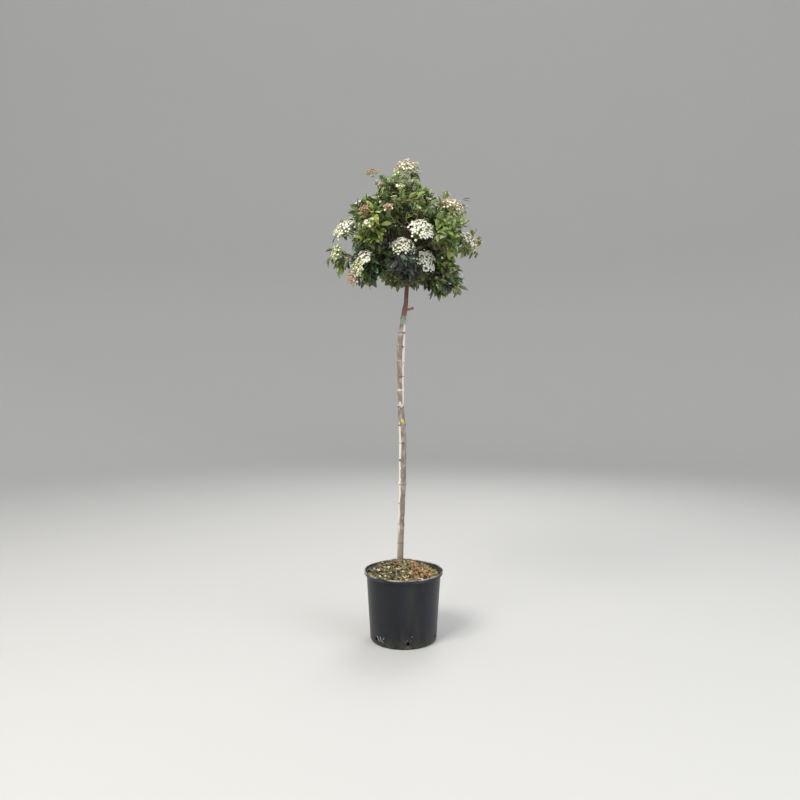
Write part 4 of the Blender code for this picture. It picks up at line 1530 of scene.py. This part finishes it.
def headSpots(head, dice):
    # Where the flowers of one head sit, with the way each faces, on a lumpy dome
    look, radius = flowerLook, 0.5 * head["width"]
    side, over = acrossOf(head["face"])
    count = int(1.15 * (radius / look["spacing"] * 2) ** 2 * 0.80)
    lobes = [(0.0, 0.0)]
    lobeCount = 6 if radius > 0.03 else 5
    shift = dice.uniform(0, math.tau)
    for number in range(lobeCount):
        angle = shift + math.tau * number / lobeCount + dice.normal(0, 0.10)
        lobes.append((0.63 * math.cos(angle), 0.63 * math.sin(angle)))
    spots = []
    for number in range(count):
        ring = math.sqrt((number + 0.5) / count) * (1 + dice.normal(0, 0.015))
        angle = shift + number * math.pi * (3 - math.sqrt(5))
        x, y = ring * math.cos(angle), ring * math.sin(angle)
        nearest = min(range(len(lobes)), key=lambda lobe: math.hypot(x - lobes[lobe][0], y - lobes[lobe][1]))
        gap = math.hypot(x - lobes[nearest][0], y - lobes[nearest][1])
        if gap > 0.30 and dice.uniform() < 0.85 or dice.uniform() < 0.06:
            continue
        height = -head["dome"] * ring * ring + look["lobeRise"] * (1 - (gap / 0.4) ** 2)
        place = head["place"] + radius * (side * x + over * y + head["face"] * (height + dice.normal(0, 0.03)))
        lx, ly = x - lobes[nearest][0], y - lobes[nearest][1]
        way = head["face"] + (side * x + over * y) * (0.4 + head["dome"]) + (side * lx + over * ly) * 1.0
        way += Vector(dice.normal(0, 0.13, 3))
        spots.append((place, way.normalized(), nearest))
    hubs = []
    for x, y in lobes:
        fall = 0.30 + (0.10 + 0.5 * head["dome"]) * (x * x + y * y)
        hubs.append(head["place"] + radius * (side * x * 0.72 + over * y * 0.72 - head["face"] * (fall + 0.12)))
    return spots, hubs


def makeHeads():
    look, dice = flowerLook, randomFor("flower heads")
    colours = list(look["colours"])
    materials = []
    for name, colour in look["colours"].items():
        roughness = 0.5 if name.startswith("bud") else 0.65
        material, tree, shader = newMaterial(name + "Bloom", colour, roughness)
        addBump(tree, shader, useGroup(tree, grain, {"Scale": 700.0})["Height"], 0.3, 0.0003)
        materials.append(material)
    flowers, buds, stalks = Pile(), Pile(), Pile()
    shapes, bud = [flowerShape(dice) for _ in range(5)], budShape()
    openPlaces, openTurns, openLooks = [], [], []
    budPlaces, budTurns, budLooks = [], [], []
    green, red = colours.index("stalkGreen"), colours.index("stalkRed")
    for head in heads:
        kind = headKinds[head["kind"]]
        spots, hubs = headSpots(head, dice)
        top = head["place"] - head["face"] * 0.42 * head["width"]
        base = top - head["face"] * 0.014
        stalkColour = colours.index(kind["stalk"]) if "stalk" in kind else green if kind["open"] > 0.5 else red
        stalks.add(*tubeAlong([base, top], [look["peduncle"]] * 2, 6), look=stalkColour)
        for hub in hubs:
            middle = top.lerp(hub, 0.55) + (hub - top).cross(head["face"]).cross(head["face"]) * -0.08
            thick = look["ray"]
            stalks.add(*tubeAlong([top - head["face"] * 0.001, middle, hub], [thick, thick, thick * 0.8], 5),
                       look=stalkColour)
        for place, way, lobe in spots:
            side, over = acrossOf(way, Vector(dice.normal(0, 1, 3)))
            turn = np.array([side, over, way]).T
            if np.linalg.det(turn) < 0:
                turn[:, 0] *= -1
            opened = dice.uniform() < kind["open"]
            if opened:
                size = look["flowerWidth"] * dice.uniform(0.88, 1.12)
                petal = colours.index(kind["petals"][dice.integers(len(kind["petals"]))])
                openPlaces.append(place)
                openTurns.append(turn * size)
                openLooks.append((petal, colours.index("underPetal"), colours.index("eye")))
                foot = place - way * size * 0.28
            else:
                size = look["budWidth"] * dice.uniform(0.8, 1.25)
                colour = colours.index(kind["buds"][dice.integers(len(kind["buds"]))])
                for extra in range(3):
                    offset = (side * dice.normal(0, 1) + over * dice.normal(0, 1)) * size * 0.62
                    budPlaces.append(place + offset + way * dice.uniform(-0.4, 0.2) * size)
                    budTurns.append(turn * size * dice.uniform(0.8, 1.1))
                    budLooks.append((colour,))
                foot = place - way * size * 0.45
            thin = look["pedicel"]
            stalks.add(*tubeAlong([hubs[lobe], foot], [thin * 1.2, thin], 3), look=stalkColour)
    picks = dice.integers(len(shapes), size=len(openPlaces))
    for number, shape in enumerate(shapes):
        mine = picks == number
        flowers.addCopies(shape, np.array(openTurns)[mine], np.array(openPlaces)[mine], np.array(openLooks)[mine])
    buds.addCopies(bud, np.array(budTurns), np.array(budPlaces), np.array(budLooks))
    print("flowers, buds and stalks:", flowers.triangles(), buds.triangles(), stalks.triangles(), "triangles")
    claim(flowers.make("openFlowers", materials, smooth=False), "leaf", *foliageNodes)
    claim(buds.make("flowerBuds", materials), "leaf", *foliageNodes)
    claim(stalks.make("flowerStalks", materials), "leaf", *foliageNodes)


makeHeads()
print("flower heads ready")
